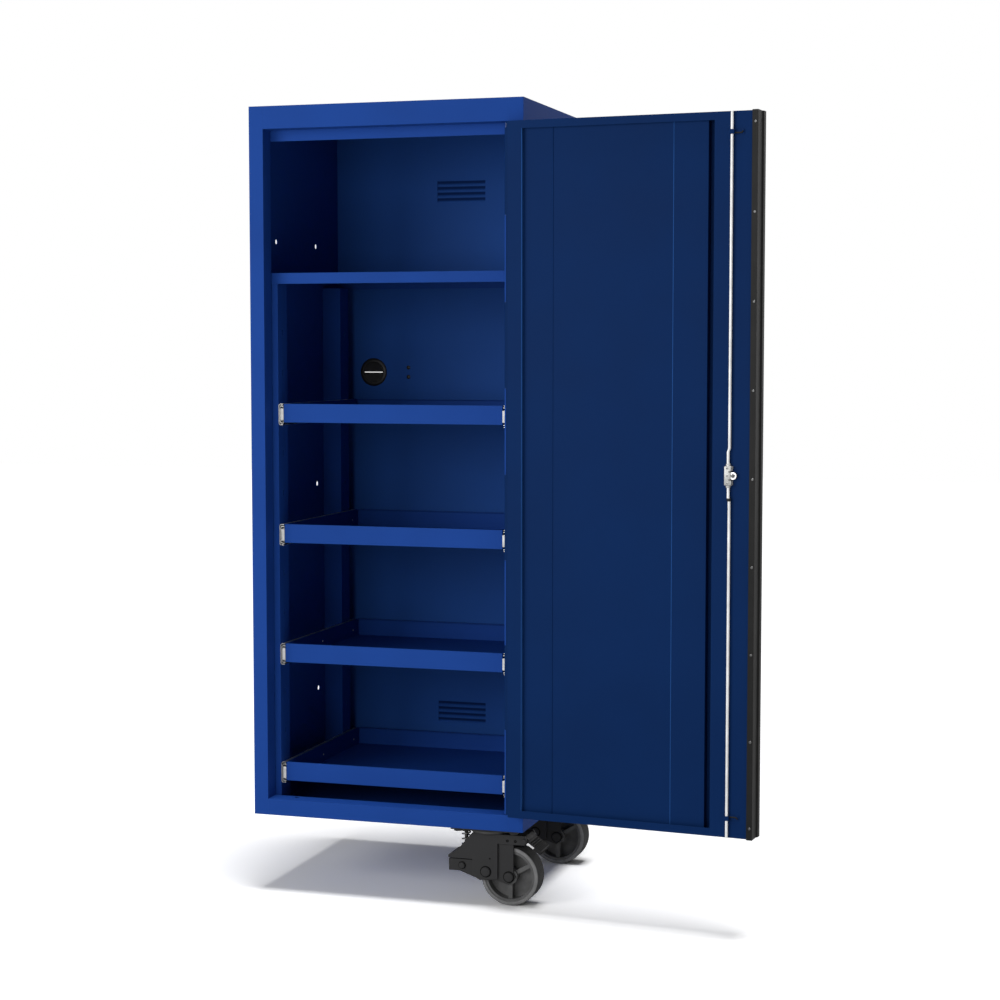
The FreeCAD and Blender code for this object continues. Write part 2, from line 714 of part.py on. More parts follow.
caps = new_body("handle_end_caps")
section = new_sketch(caps, "XY_Plane")
outline(section, [
    ("free_edge - handle_wrap + handle_sheet", "0"), ("handle_edge", "0"),
    ("handle_edge", "handle_sheet + door_thickness"),
    ("handle_lip_x", "handle_sheet + door_thickness + handle_lip_overhang"),
    ("handle_lip_x", "handle_sheet + pull_y"),
    ("free_edge - handle_base_reach", "handle_sheet + pull_y"),
    ("free_edge - handle_base_reach", "handle_sheet + door_thickness"),
    ("free_edge - handle_wrap + handle_sheet", "handle_sheet + door_thickness")])
cap = pad(caps, section, "handle_cap")
repeat(caps, [cap], section, "N_Axis", "door_height + handle_cap", 2)
keep_on_door(caps, y="-handle_sheet", z="door_bottom - handle_cap")

screws = new_body("handle_screws")
head = new_sketch(screws, "XZ_Plane")
hexagon(head, "free_edge - handle_wrap / 2 + handle_sheet", "screw_end_gap", "screw_head_width")
first_screw = pad(screws, head, "screw_head_height")
opening = s.body_height - s.top_rail_height - s.bottom_rail_height
screw_count = round((opening - 2 * s.screw_end_gap) / s.screw_pitch) + 1
repeat(screws, [first_screw], head, "V_Axis", "door_height - 2 * screw_end_gap", screw_count)
keep_on_door(screws, y="-handle_sheet", z="door_bottom")

# ---------------------------------------------------------------- piano hinge
# The knuckles of the two leaves take turns along one pin.
knuckle_places = int((opening - 2 * s.door_gap) // s.knuckle_length)
leaf_start = "knuckle_radius + hinge_leaf_stand_off"


def hinge_leaf(name, first_place, sign):
    """One leaf with every other knuckle; sign is the side of the pin that the leaf lies on."""
    leaf = new_body(name)
    strip = new_sketch(leaf, "XY_Plane")
    near, far = "%s(%s)" % (sign, leaf_start), "%s(%s + hinge_leaf_width)" % (sign, leaf_start)
    rectangle(strip, "knuckle_radius - hinge_leaf", near, "knuckle_radius", far)
    pad(leaf, strip, "door_height")
    lift = "%d * knuckle_length + knuckle_gap" % first_place
    web = new_sketch(leaf, "XY_Plane", lift=lift)
    rectangle(web, "knuckle_radius - hinge_leaf", "0", "knuckle_radius", near)
    webs = pad(leaf, web, "knuckle_length - knuckle_gap")
    tube = new_sketch(leaf, "XY_Plane", lift=lift)
    circle(tube, "0", "0", "knuckle_radius")
    tubes = pad(leaf, tube, "knuckle_length - knuckle_gap")
    places = len(range(first_place, knuckle_places, 2))
    repeat(leaf, [webs, tubes], tube, "N_Axis", "(%d) * knuckle_length" % (2 * (places - 1)), places)
    bore = new_sketch(leaf, "XY_Plane")
    circle(bore, "0", "0", "hinge_pin_radius + hinge_pin_clearance")
    pocket(leaf, bore)
    return leaf


keep(hinge_leaf("hinge_frame_leaf", 0, ""), x="pin_x", y="-hinge_set_forward", z="door_bottom")
keep_on_door(hinge_leaf("hinge_door_leaf", 1, "-"), y="door_thickness + hinge_set_forward",
             z="door_bottom")

pin = new_body("hinge_pin")
section = new_sketch(pin, "XY_Plane")
circle(section, "0", "0", "hinge_pin_radius")
pad(pin, section, "door_height")
keep(pin, x="pin_x", y="-hinge_set_forward", z="door_bottom")

# ---------------------------------------------------------------- latch
# A keyed cam in the middle of the door drives one rod up and one rod down.
case = new_body("latch_case")
section = new_sketch(case, "XZ_Plane")
rectangle(section, "0", "0", "latch_case_width", "latch_case_height")
pad(case, section, "latch_case_depth")
well = new_sketch(case, "XZ_Plane")
rectangle(well, "latch_case_sheet", "latch_case_sheet", "latch_case_width + latch_case_sheet",
          "latch_case_height - latch_case_sheet")
pocket(case, well, "latch_case_depth - latch_case_sheet", backwards=True)
rod_slots = new_sketch(case, "XY_Plane")
rectangle(rod_slots, "rod_x - case_left - rod_slot", "-rod_stand_off - rod_slot",
          "rod_x - case_left + rod_slot", "0")
pocket(case, rod_slots)
keep_on_door(case, x="case_left", z="latch_height - latch_case_height / 2")

cam = new_body("lock_cam")
section = new_sketch(cam, "XZ_Plane")
circle(section, "0", "0", "cam_radius")
pad(cam, section, "cam_tail")
barrel = new_sketch(cam, "XZ_Plane")
circle(barrel, "0", "0", "cam_radius")
pad(cam, barrel, "door_thickness + lock_face", backwards=True)
key_slot = new_sketch(cam, "XZ_Plane", lift="-door_thickness - lock_face")
rectangle(key_slot, "-key_slot_width / 2", "-key_slot_height / 2", "key_slot_width / 2",
          "key_slot_height / 2")
pocket(cam, key_slot, "key_slot_depth", backwards=True)
keep_on_door(cam, x="cam_x", z="latch_height")


def latch_rod(name, length, z):
    rod = new_body(name)
    section = new_sketch(rod, "XY_Plane")
    circle(section, "0", "0", "rod_radius")
    pad(rod, section, length)
    keep_on_door(rod, x="rod_x", y="-rod_stand_off", z=z)


latch_rod("upper_latch_rod",
          "body_height - top_rail_height - door_gap - rod_end_gap - rod_inner_gap - latch_height",
          "latch_height + rod_inner_gap")
latch_rod("lower_latch_rod", "latch_height - rod_inner_gap - rod_end_gap - door_bottom",
          "door_bottom + rod_end_gap")

# Each guide is a strap that is bent over a rod, with a long foot on the side of the handle.
guides = new_body("rod_guides")
section = new_sketch(guides, "XY_Plane")
strap_top = "-rod_stand_off - rod_slot"
outline(section, [
    ("-guide_short_foot", "0"), ("-rod_slot", "0"), ("-rod_slot", strap_top), ("rod_slot", strap_top),
    ("rod_slot", "0"), ("guide_long_foot", "0"), ("guide_long_foot", "-guide_sheet"),
    ("rod_slot + guide_sheet", "-guide_sheet"), ("rod_slot + guide_sheet", strap_top + " - guide_sheet"),
    ("-rod_slot - guide_sheet", strap_top + " - guide_sheet"), ("-rod_slot - guide_sheet", "-guide_sheet"),
    ("-guide_short_foot", "-guide_sheet")])
strap = pad(guides, section, "guide_height")
repeat(guides, [strap], section, "N_Axis", "door_height - 2 * guide_end_gap - guide_height", 2)
keep_on_door(guides, x="rod_x", z="door_bottom + guide_end_gap")

# ---------------------------------------------------------------- casters
# Each caster swivels on a kingpin in its plate. The wheel hangs on a swing arm, and a spring on the
# fork's ledge pulls the arm's tail up so that the wheel is pressed to the floor.
COIL_STEPS = 12


def at_caster(piece, y, x="0", z="0"):
    """Place a caster's sub-part: x to the right of its swivel axis and z from the cabinet's floor."""
    keep(piece, x="body_width - caster_set_in + " + x, y=y, z=z)


PLATE_CORNERS = [(x, y) for x in ("-plate_hole_gap_x / 2", "plate_hole_gap_x / 2")
                 for y in ("-plate_hole_gap_y / 2", "plate_hole_gap_y / 2")]


def both_sides(body, feature):
    """Repeat a feature on the far side of the caster's middle plane."""
    mirror = body.newObject("PartDesign::Mirrored", body.Name + "_mirror")
    mirror.Originals = [feature]
    mirror.MirrorPlane = (origin_plane(body, "XZ_Plane"), [""])
    body.Tip = mirror


def cheeks(body, inner, corners, square_holes, round_holes=()):
    """A pair of upright plates, fork_sheet thick, with inner faces a distance each side of centre.
    Square holes hold fixed bolts and a round hole turns on one."""
    side_view = new_sketch(body, "XZ_Plane", lift=inner)
    outline(side_view, corners)
    for x, z, radius in square_holes:
        square(side_view, x, z, radius)
    for x, z, radius in round_holes:
        circle(side_view, x, z, radius)
    both_sides(body, pad(body, side_view, "fork_sheet"))


def cross_bolt(body, x, z, radius, inner):
    """A bolt across a pair of plates, whose inner faces are a distance each side of centre."""
    shank = new_sketch(body, "XZ_Plane")
    circle(shank, x, z, radius)
    shaft = pad(body, shank, "2 * " + inner)
    shaft.Midplane = True
    bolt_ends(body, x, z, radius, inner)


def bolt_ends(body, x, z, radius, inner):
    """A square neck in the hole of each plate, with a head on the plate's outer face."""
    neck = new_sketch(body, "XZ_Plane", lift=inner)
    square(neck, x, z, radius)
    both_sides(body, pad(body, neck, "fork_sheet"))
    head = new_sketch(body, "XZ_Plane", lift=inner + " + fork_sheet")
    hexagon(head, x, z, "head_ratio * " + radius)
    both_sides(body, pad(body, head, "bolt_head_height"))


GROOVES = 4


def sloping_sketch(body):
    """A sketch on the caster's middle plane, turned down by the pedal's slope."""
    sketch = new_sketch(body, "XZ_Plane")
    sketch.AttachmentOffset = FreeCAD.Placement(
        FreeCAD.Vector(), FreeCAD.Rotation(FreeCAD.Vector(0, 0, 1), 360 - s.pedal_slope))
    sketch.setExpression("AttachmentOffset.Rotation.Angle", bound("(360 - pedal_slope) * 1 deg"))
    return sketch


def spin(body, section):
    """Turn a section once round the axle."""
    ring = body.newObject("PartDesign::Revolution", body.Name + "_ring")
    ring.Profile = section
    ring.ReferenceAxis = (section, ["H_Axis"])
    ring.Angle = 360


plates = new_body("caster_plates")
section = new_sketch(plates, "XY_Plane")
rectangle(section, "-plate_length / 2", "-plate_width / 2", "plate_length / 2", "plate_width / 2")
for x, y in PLATE_CORNERS:
    square(section, x, y, "plate_bolt_radius")
circle(section, "0", "0", "kingpin_radius + pin_clearance")
plate = pad(plates, section, "plate_thickness")
repeat(plates, [plate], section, "V_Axis", "caster_gap", 2)
at_caster(plates, "caster_front", z="-plate_thickness")

bolts = new_body("caster_bolts")
section = new_sketch(bolts, "XY_Plane")
for x, y in PLATE_CORNERS:
    square(section, x, y, "plate_bolt_radius")
shank = pad(bolts, section, "plate_thickness")
section = new_sketch(bolts, "XY_Plane")
for x, y in PLATE_CORNERS:
    hexagon(section, x, y, "head_ratio * plate_bolt_radius")
head = pad(bolts, section, "bolt_head_height", backwards=True)
repeat(bolts, [shank, head], section, "V_Axis", "caster_gap", 2)
at_caster(bolts, "caster_front", z="-plate_thickness")

for side, place in (("front", "caster_front"), ("rear", "body_depth - caster_back_gap")):
    fork = new_body(side + "_caster_fork")
    disc = new_sketch(fork, "XY_Plane", lift="-plate_thickness - swivel_clearance - swivel_height")
    circle(disc, "0", "0", "swivel_radius")
    pad(fork, disc, "swivel_height")
    kingpin = new_sketch(fork, "XY_Plane", lift="-plate_thickness - swivel_clearance - swivel_height")
    circle(kingpin, "0", "0", "kingpin_radius")
    pad(fork, kingpin, "plate_thickness + swivel_height - swivel_clearance")
    cheeks(fork, "fork_inner", [
        ("-fork_shoulder", "-fork_top"), ("fork_front", "-fork_top"),
        ("fork_front", "-fork_front_drop"), ("-fork_lug", "-fork_bottom"),
        ("-fork_shoulder", "-fork_lug_drop"), ("-fork_shoulder", "-ledge_drop - ledge_height"),
        ("-ledge_reach", "-ledge_drop - ledge_height"), ("-ledge_reach", "-ledge_drop"),
        ("-ledge_reach + 3 * ledge_height", "-ledge_drop + 1.5 * ledge_height")],
        [("-pivot_lead", "-pivot_drop", "pivot_radius")])
    cheeks(fork, "fork_inner", [
        ("fork_front - fork_sheet", "-fork_top"), ("pedal_lead", "-fork_top"),
        ("pedal_lead + 2 * pedal_pin_radius", "-pedal_height"),
        ("pedal_lead", "-pedal_height - 3 * pedal_pin_radius"),
        ("fork_front - fork_sheet", "-pedal_height - 3 * pedal_pin_radius")],
        [("pedal_lead", "-pedal_height", "pedal_pin_radius")])
    ledge = new_sketch(fork, "XY_Plane", lift="-ledge_drop - ledge_height")
    rectangle(ledge, "-ledge_reach", "-fork_inner", "-fork_shoulder", "fork_inner")
    circle(ledge, "-spring_lead", "0", "draw_bolt_radius + draw_bolt_clearance")
    pad(fork, ledge, "ledge_height")
    at_caster(fork, place)

    fork_bolts = new_body(side + "_caster_fork_bolts")
    stub = new_sketch(fork_bolts, "XZ_Plane", lift="arm_inner")
    circle(stub, "-pivot_lead", "-pivot_drop", "pivot_radius")
    both_sides(fork_bolts, pad(fork_bolts, stub, "fork_inner - arm_inner"))
    bolt_ends(fork_bolts, "-pivot_lead", "-pivot_drop", "pivot_radius", "fork_inner")
    cross_bolt(fork_bolts, "pedal_lead", "-pedal_height", "pedal_pin_radius", "fork_inner")
    at_caster(fork_bolts, place)

    arm = new_body(side + "_caster_swing_arm")
    cheeks(arm, "arm_inner", [
        ("-ledge_reach", "-arm_top"), ("fork_front + side_play", "-arm_top"),
        ("fork_front + side_play", "-arm_leg_top"), ("fork_front + arm_leg", "-arm_leg_top"),
        ("fork_front + arm_leg", "hub_radius / 2 - axle_drop"),
        ("wheel_lead + 0.9 * hub_radius", "-axle_drop"), ("wheel_lead", "-axle_drop - hub_radius"),
        ("fork_front", "-fork_bottom"), ("-fork_lug", "-fork_bottom"),
        ("-ledge_reach + 2 * arm_heel", "-arm_heel_drop"), ("-ledge_reach", "-arm_heel_drop")],
        [("wheel_lead", "-axle_drop", "axle_radius"),
         ("-spring_lead", "-draw_pin_drop", "draw_pin_radius")],
        [("-pivot_lead", "-pivot_drop", "pivot_radius + pin_clearance")])
    heel = new_sketch(arm, "XY_Plane", lift="-arm_heel_drop")
    rectangle(heel, "-ledge_reach", "-arm_inner", "fork_sheet - ledge_reach", "arm_inner")
    pad(arm, heel, "arm_heel_drop - arm_top")
    at_caster(arm, place)

    arm_bolts = new_body(side + "_caster_arm_bolts")
    cross_bolt(arm_bolts, "wheel_lead", "-axle_drop", "axle_radius", "arm_inner")
    cross_bolt(arm_bolts, "-spring_lead", "-draw_pin_drop", "draw_pin_radius", "arm_inner")
    at_caster(arm_bolts, place)

    draw_bolt = new_body(side + "_caster_draw_bolt")
    section = new_sketch(draw_bolt, "XY_Plane")
    circle(section, "0", "0", "draw_bolt_radius")
    pad(draw_bolt, section, "draw_pin_drop - draw_bolt_top")
    nut = new_sketch(draw_bolt, "XY_Plane", lift="draw_pin_drop - draw_bolt_top - nut_height")
    hexagon(nut, "0", "0", "nut_width")
    pad(draw_bolt, nut, "nut_height")
    eye = new_sketch(draw_bolt, "XZ_Plane")
    rectangle(eye, "-2 * draw_pin_radius", "-2 * draw_pin_radius",
              "2 * draw_pin_radius", "2 * draw_pin_radius")
    boss = pad(draw_bolt, eye, "2 * arm_inner")
    boss.Midplane = True
    eye = new_sketch(draw_bolt, "XZ_Plane")
    circle(eye, "0", "0", "draw_pin_radius")
    pocket(draw_bolt, eye)
    at_caster(draw_bolt, place, x="-spring_lead", z="-draw_pin_drop")

    path = doc.addObject("Part::Helix", side + "_spring_path")
    path.setExpression("Radius", bound("spring_radius"))
    path.setExpression("Height", bound("spring_space"))
    path.setExpression("Pitch", bound("spring_space / spring_turns"))
    doc.recompute()
    coil = doc.addObject("Part::Polygon", side + "_spring_coil")
    coil.Nodes = path.Shape.discretize(int(s.spring_turns * COIL_STEPS) + 1)
    wire = doc.addObject("Part::RegularPolygon", side + "_spring_wire")
    wire.Polygon = 6
    wire.setExpression("Circumradius", bound("spring_wire / 2"))
    wire.setExpression("Placement.Base.x", bound("spring_radius"))
    wire.Placement.Rotation = FreeCAD.Rotation(FreeCAD.Vector(1, 0, 0), 90)
    spring = doc.addObject("Part::Sweep", side + "_caster_spring")
    spring.Sections = [wire]
    spring.Spine = (coil, [])
    spring.Solid = True
    spring.Transition = "Right corner"
    at_caster(spring, place, x="-spring_lead", z="spring_wire / 2 - ledge_drop")

    wheel = new_body(side + "_caster_wheel")
    section = new_sketch(wheel, "YZ_Plane")
    profile = [
        ("wheel_width / 2", "axle_radius + pin_clearance"), ("wheel_width / 2", "hub_radius"),
        ("web_thickness / 2", "hub_radius"), ("web_thickness / 2", "rim_radius - rim_thickness"),
        ("rim_width / 2", "rim_radius - rim_thickness"), ("rim_width / 2", "rim_radius")]
    outline(section, profile + [("-" + y, z) for y, z in reversed(profile)])
    spin(wheel, section)
    section = new_sketch(wheel, "XZ_Plane")
    rectangle(section, "-rib_thickness / 2", "rim_thickness / 2 - rim_radius",
              "rib_thickness / 2", "-(hub_radius - rim_thickness)")
    rib = pad(wheel, section, "rib_width")
    rib.Midplane = True
    spokes = wheel.newObject("PartDesign::PolarPattern", side + "_wheel_spokes")
    spokes.Originals = [rib]
    spokes.Axis = (section, ["N_Axis"])
    spokes.Angle = 360
    spokes.Occurrences = 3
    wheel.Tip = spokes
    at_caster(wheel, place, x="wheel_lead", z="-axle_drop")

    tyre = new_body(side + "_caster_tyre")
    section = new_sketch(tyre, "YZ_Plane")
    rectangle(section, "-wheel_width / 2", "rim_radius", "wheel_width / 2", "wheel_radius")
    spin(tyre, section)
    at_caster(tyre, place, x="wheel_lead", z="-axle_drop")

    # The pedal slopes down to a thick pad with grooves across it.
    pedal = new_body(side + "_caster_brake_pedal")
    section = sloping_sketch(pedal)
    outline(section, [
        ("-2 * pedal_pin_radius", "-2 * pedal_pin_radius"), ("2 * pedal_pin_radius", "-2 * pedal_pin_radius"),
        ("2 * pedal_pin_radius", "0"), ("pedal_reach - pedal_pad", "0"),
        ("pedal_reach - pedal_pad", "pedal_thickness - pedal_pad_thickness"),
        ("pedal_reach", "pedal_thickness - pedal_pad_thickness"), ("pedal_reach", "pedal_thickness"),
        ("2 * pedal_pin_radius", "pedal_thickness"), ("2 * pedal_pin_radius", "2 * pedal_pin_radius"),
        ("-2 * pedal_pin_radius", "2 * pedal_pin_radius")])
    circle(section, "0", "0", "pedal_pin_radius + pin_clearance")
    lever = pad(pedal, section, "2 * (fork_inner - 2 * side_play)")
    lever.Midplane = True
    groove = sloping_sketch(pedal)
    rectangle(groove, "pedal_reach - pedal_pad + pedal_groove", "pedal_thickness - pedal_groove",
              "pedal_reach - pedal_pad + 2 * pedal_groove", "pedal_thickness + pedal_groove")
    cut = pocket(pedal, groove)
    repeat(pedal, [cut], groove, "H_Axis", "pedal_pad - 4 * pedal_groove", GROOVES)
    at_caster(pedal, place, x="pedal_lead", z="-pedal_height")

# ---------------------------------------------------------------- check and write
doc.recompute()
for item in doc.Objects:
    if "Invalid" in item.State or "Error" in item.State:
        raise RuntimeError("%s failed: %s" % (item.Name, item.State))
os.makedirs("parts", exist_ok=True)
for piece in nodes:
    if piece.Shape.isNull() or not piece.Shape.isValid():
        raise RuntimeError(piece.Label + " has no valid shape")
    piece.Shape.exportStep("parts/%s.step" % piece.Label)
    box = piece.Shape.BoundBox
    print("%-30s %2d solid(s) %10.1f cm3  x %7.1f %7.1f  y %7.1f %7.1f  z %7.1f %7.1f" % (
        piece.Label, len(piece.Shape.Solids), piece.Shape.Volume / 1000,
        box.XMin, box.XMax, box.YMin, box.YMax, box.ZMin, box.ZMax))
print(len(nodes), "nodes")
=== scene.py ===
# Tall steel side locker for a tool chest: blue powder-coated sheet, a full-height door that stands
# open on a piano hinge, four roll-out trays on ball-bearing slides and two sprung casters.
import math

import bmesh
import bpy
from mathutils import Matrix, Vector


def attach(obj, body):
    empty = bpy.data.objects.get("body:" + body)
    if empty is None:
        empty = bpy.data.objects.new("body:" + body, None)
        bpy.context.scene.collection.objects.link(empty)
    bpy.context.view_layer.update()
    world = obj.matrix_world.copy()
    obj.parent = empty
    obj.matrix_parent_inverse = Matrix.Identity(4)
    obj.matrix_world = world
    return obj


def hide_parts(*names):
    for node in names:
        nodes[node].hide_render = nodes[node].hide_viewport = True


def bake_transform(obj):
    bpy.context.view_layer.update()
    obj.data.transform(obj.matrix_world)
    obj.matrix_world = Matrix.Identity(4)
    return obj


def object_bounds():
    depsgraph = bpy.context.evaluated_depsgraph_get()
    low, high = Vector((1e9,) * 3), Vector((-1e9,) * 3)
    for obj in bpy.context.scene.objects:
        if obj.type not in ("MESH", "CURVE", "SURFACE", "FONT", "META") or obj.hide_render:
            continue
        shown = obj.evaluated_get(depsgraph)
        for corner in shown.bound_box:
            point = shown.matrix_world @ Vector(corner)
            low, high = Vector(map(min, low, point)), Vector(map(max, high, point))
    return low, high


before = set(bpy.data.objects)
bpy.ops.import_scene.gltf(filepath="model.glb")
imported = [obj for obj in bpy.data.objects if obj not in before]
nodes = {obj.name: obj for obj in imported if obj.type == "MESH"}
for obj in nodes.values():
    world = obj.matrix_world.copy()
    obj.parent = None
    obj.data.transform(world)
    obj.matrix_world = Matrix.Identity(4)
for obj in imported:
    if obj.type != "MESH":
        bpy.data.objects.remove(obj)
cad_box = [list(corner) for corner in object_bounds()]

# The camera stands about four metres in front, a little to the locker's right, and looks slightly
# down. A long lens keeps the tall sides nearly parallel.
scene = bpy.context.scene
camera = bpy.data.objects.new("camera", bpy.data.cameras.new("camera"))
scene.collection.objects.link(camera)
camera.location = (1.829, -4.3574, 0.285)
camera.rotation_euler = (math.radians(85.75), 0.0, math.radians(17.19))
camera.data.lens = 74.70
camera.data.sensor_width = 36.0
camera.data.clip_end = 60.0
scene.camera = camera


# The studio is a wide sheet of pale paper under two soft lamps in front and a weak sun overhead.
# The lit paper reads as plain white to the camera, and only the locker's own shadow stays on it.
def fill(node, **sockets):
    """Set a node's inputs. A name has _ for a space; a value is a number, a colour or an output."""
    for name, value in sockets.items():
        socket = node.inputs[name.replace("_", " ")]
        if isinstance(value, bpy.types.NodeSocket):
            node.id_data.links.new(value, socket)
        else:
            socket.default_value = value
    return node


def add_node(tree, kind, settings=(), **sockets):
    """Add a shader node. Its settings come first, because they decide which inputs it has."""
    node = tree.nodes.new("ShaderNode" + kind)
    for name, value in settings:
        setattr(node, name, value)
    return fill(node, **sockets)


def combine(tree, operation, first, second):
    node = add_node(tree, "Math", [("operation", operation)])
    tree.links.new(first, node.inputs[0])
    tree.links.new(second, node.inputs[1])
    return node.outputs["Value"]


def mix_shaders(tree, factor, first, second, output):
    node = add_node(tree, "MixShader", Fac=factor)
    tree.links.new(first.outputs[0], node.inputs[1])
    tree.links.new(second.outputs[0], node.inputs[2])
    fill(tree.nodes[output], Surface=node.outputs[0])


def new_material(name):
    material = bpy.data.materials.new(name)
    material.use_nodes = True
    return material, material.node_tree, material.node_tree.nodes["Principled BSDF"]


def mesh_object(name, mesh, material):
    data = bpy.data.meshes.new(name)
    mesh.to_mesh(data)
    mesh.free()
    data.materials.append(material)
    made = bpy.data.objects.new(name, data)
    scene.collection.objects.link(made)
    return made


paper, tree, shader = new_material("studio_paper")
fill(shader, Base_Color=(0.6, 0.6, 0.6, 1), Roughness=0.9, Specular_IOR_Level=0.0)
bright_paper = add_node(tree, "BsdfDiffuse", Color=(1.25, 1.25, 1.25, 1))
rays = add_node(tree, "LightPath").outputs
mix_shaders(tree, rays["Is Camera Ray"], shader, bright_paper, "Material Output")
floor_mesh = bmesh.new()
bmesh.ops.create_grid(floor_mesh, x_segments=1, y_segments=1, size=14.0)
bmesh.ops.translate(floor_mesh, verts=floor_mesh.verts, vec=(0, 0, cad_box[0][2]))
floor = mesh_object("studio_floor", floor_mesh, paper)

world = bpy.data.worlds.new("studio_sky")
scene.world = world
world.use_nodes = True
tree = world.node_tree
ground = fill(tree.nodes["Background"], Color=(1.0, 1.0, 1.0, 1), Strength=0.12)
backdrop = add_node(tree, "Background", Color=(1.0, 1.0, 1.0, 1), Strength=1.0)
rays = add_node(tree, "LightPath").outputs
direct = combine(tree, "MAXIMUM", rays["Is Camera Ray"], rays["Is Glossy Ray"])
direct = combine(tree, "MAXIMUM", direct, rays["Is Transmission Ray"])
mix_shaders(tree, direct, ground, backdrop, "World Output")


def studio_lamp(name, place, size, power):
    lamp = bpy.data.objects.new(name, bpy.data.lights.new(name, "AREA"))
    lamp.data.shape = "SQUARE"
    lamp.data.size = size
    lamp.data.energy = power
    lamp.location = place
    aim = Vector((0.4, 0, 0)) - Vector(place)
    lamp.rotation_euler = aim.to_track_quat("-Z", "Y").to_euler()
    scene.collection.objects.link(lamp)


studio_lamp("key_lamp", (-1.9, -3.6, 0.9), 2.2, 84)
studio_lamp("front_lamp", (0.1, -4.6, 0.6), 1.6, 38)
overhead = bpy.data.objects.new("overhead_lamp", bpy.data.lights.new("overhead_lamp", "SUN"))
overhead.data.energy = 2.6
overhead.data.angle = math.radians(20)
overhead.rotation_euler = (math.radians(3), math.radians(5), 0)
scene.collection.objects.link(overhead)
scene.view_settings.view_transform = "Standard"


# The cabinet shell is folded 1.5 mm steel sheet, spot welded and powder coated in one deep blue.
# The coat is thin on the folds, which carry a painted highlight, and has a baked powder's fine
# skin.
def two_tones(tree, factor, colour, dark, light):
    """The colour drifts between a darker and a lighter tone as the factor rises."""
    shade = add_node(tree, "ValToRGB", Fac=factor)
    for stop, position, tone in zip(shade.color_ramp.elements, (0.3, 0.7), (dark, light)):
        stop.position = position
        stop.color = [min(1.0, tone * channel) for channel in colour] + [1]
    return shade.outputs["Color"]


def powder_coat(name, colour, thin_coat_and_highlight_colour, roughness=0.5):
    material, tree, shader = new_material(name)
    place = add_node(tree, "TexCoord").outputs["Object"]
    clouds = add_node(tree, "TexNoise", Vector=place, Scale=5.0, Detail=3.0).outputs["Fac"]
    rounded = add_node(tree, "Bevel", [("samples", 4)], Radius=0.0012).outputs["Normal"]
    turn = add_node(tree, "VectorMath", [("operation", "DOT_PRODUCT")])
    tree.links.new(rounded, turn.inputs[0])
    tree.links.new(add_node(tree, "NewGeometry").outputs["Normal"], turn.inputs[1])
    # Thin coat and painted highlight: where the rounded normal turns away on the folds, the colour
    # moves to the lighter fold colour.
    thin_coat_and_highlight_mask = add_node(tree, "MapRange", Value=turn.outputs["Value"],
                    From_Min=0.97, From_Max=0.75, To_Max=0.6)
    coat = add_node(tree, "Mix", [("data_type", "RGBA")], Factor=thin_coat_and_highlight_mask.outputs["Result"],
                    A=two_tones(tree, clouds, colour, 0.93, 1.05), B=thin_coat_and_highlight_colour + (1,))
    peel = add_node(tree, "TexNoise", Vector=place, Scale=620.0, Detail=2.0).outputs["Fac"]
    skin = add_node(tree, "Bump", Strength=0.08, Distance=0.0004, Height=peel, Normal=rounded)
    sheen = add_node(tree, "MapRange", Value=clouds,
                     To_Min=roughness - 0.06, To_Max=roughness + 0.08)
    fill(shader, Base_Color=coat.outputs["Result"], Roughness=sheen.outputs["Result"],
         Normal=skin.outputs["Normal"], Specular_IOR_Level=0.03)
    return material


def finish_nodes(material, *names):
    for name in names:
        for slot in nodes[name].material_slots:
            slot.material = material


cabinet_blue = powder_coat("cabinet_blue", (0.012, 0.056, 0.275), (0.03, 0.1, 0.40))
finish_nodes(cabinet_blue, "left_side_panel", "right_side_panel", "top_panel", "base_panel",
             "top_rail", "bottom_rail")

# The back is one sheet with pressed louvres, spot welded to the rear flanges. Its coat is the
# shell's blue painted lighter as painted light, with painted shade dark in the throats of the
# louvres. Black nylon plugs close the two small tie holes beside the cable hole.
# The lighter base colour is painted light on the shell's own blue.
back_blue_painted_light_and_shade = powder_coat("back_blue_painted_light_and_shade", (0.018, 0.078, 0.31), (0.03, 0.11, 0.42))
tree = back_blue_painted_light_and_shade.node_tree
shader = tree.nodes["Principled BSDF"]
full_coat = shader.inputs["Base Color"].links[0].from_socket
place = add_node(tree, "TexCoord").outputs["Object"]
depth = add_node(tree, "SeparateXYZ", Vector=place).outputs["Y"]
normal = add_node(tree, "NewGeometry").outputs["Normal"]
lean = add_node(tree, "SeparateXYZ", Vector=normal).outputs["Y"]
# Painted shade: faces that look forward just behind the sheet, in the louvre throats, turn near
# black.
faces_front = add_node(tree, "MapRange", Value=lean, From_Min=-0.1, From_Max=-0.3)
behind_sheet = add_node(tree, "MapRange", Value=depth,
                        From_Min=0.2511, From_Max=0.2515, To_Max=0.9)
near_sheet = add_node(tree, "MapRange", Value=depth, From_Min=0.2550, From_Max=0.2535)
throat_shade_mask = combine(tree, "MULTIPLY", faces_front.outputs["Result"], behind_sheet.outputs["Result"])
throat_shade_mask = combine(tree, "MULTIPLY", throat_shade_mask, near_sheet.outputs["Result"])
coat_with_throat_shade = add_node(tree, "Mix", [("data_type", "RGBA")], Factor=throat_shade_mask, A=full_coat,
                     B=(0.004, 0.018, 0.085, 1))
fill(shader, Base_Color=coat_with_throat_shade.outputs["Result"])
finish_nodes(back_blue_painted_light_and_shade, "back_panel")


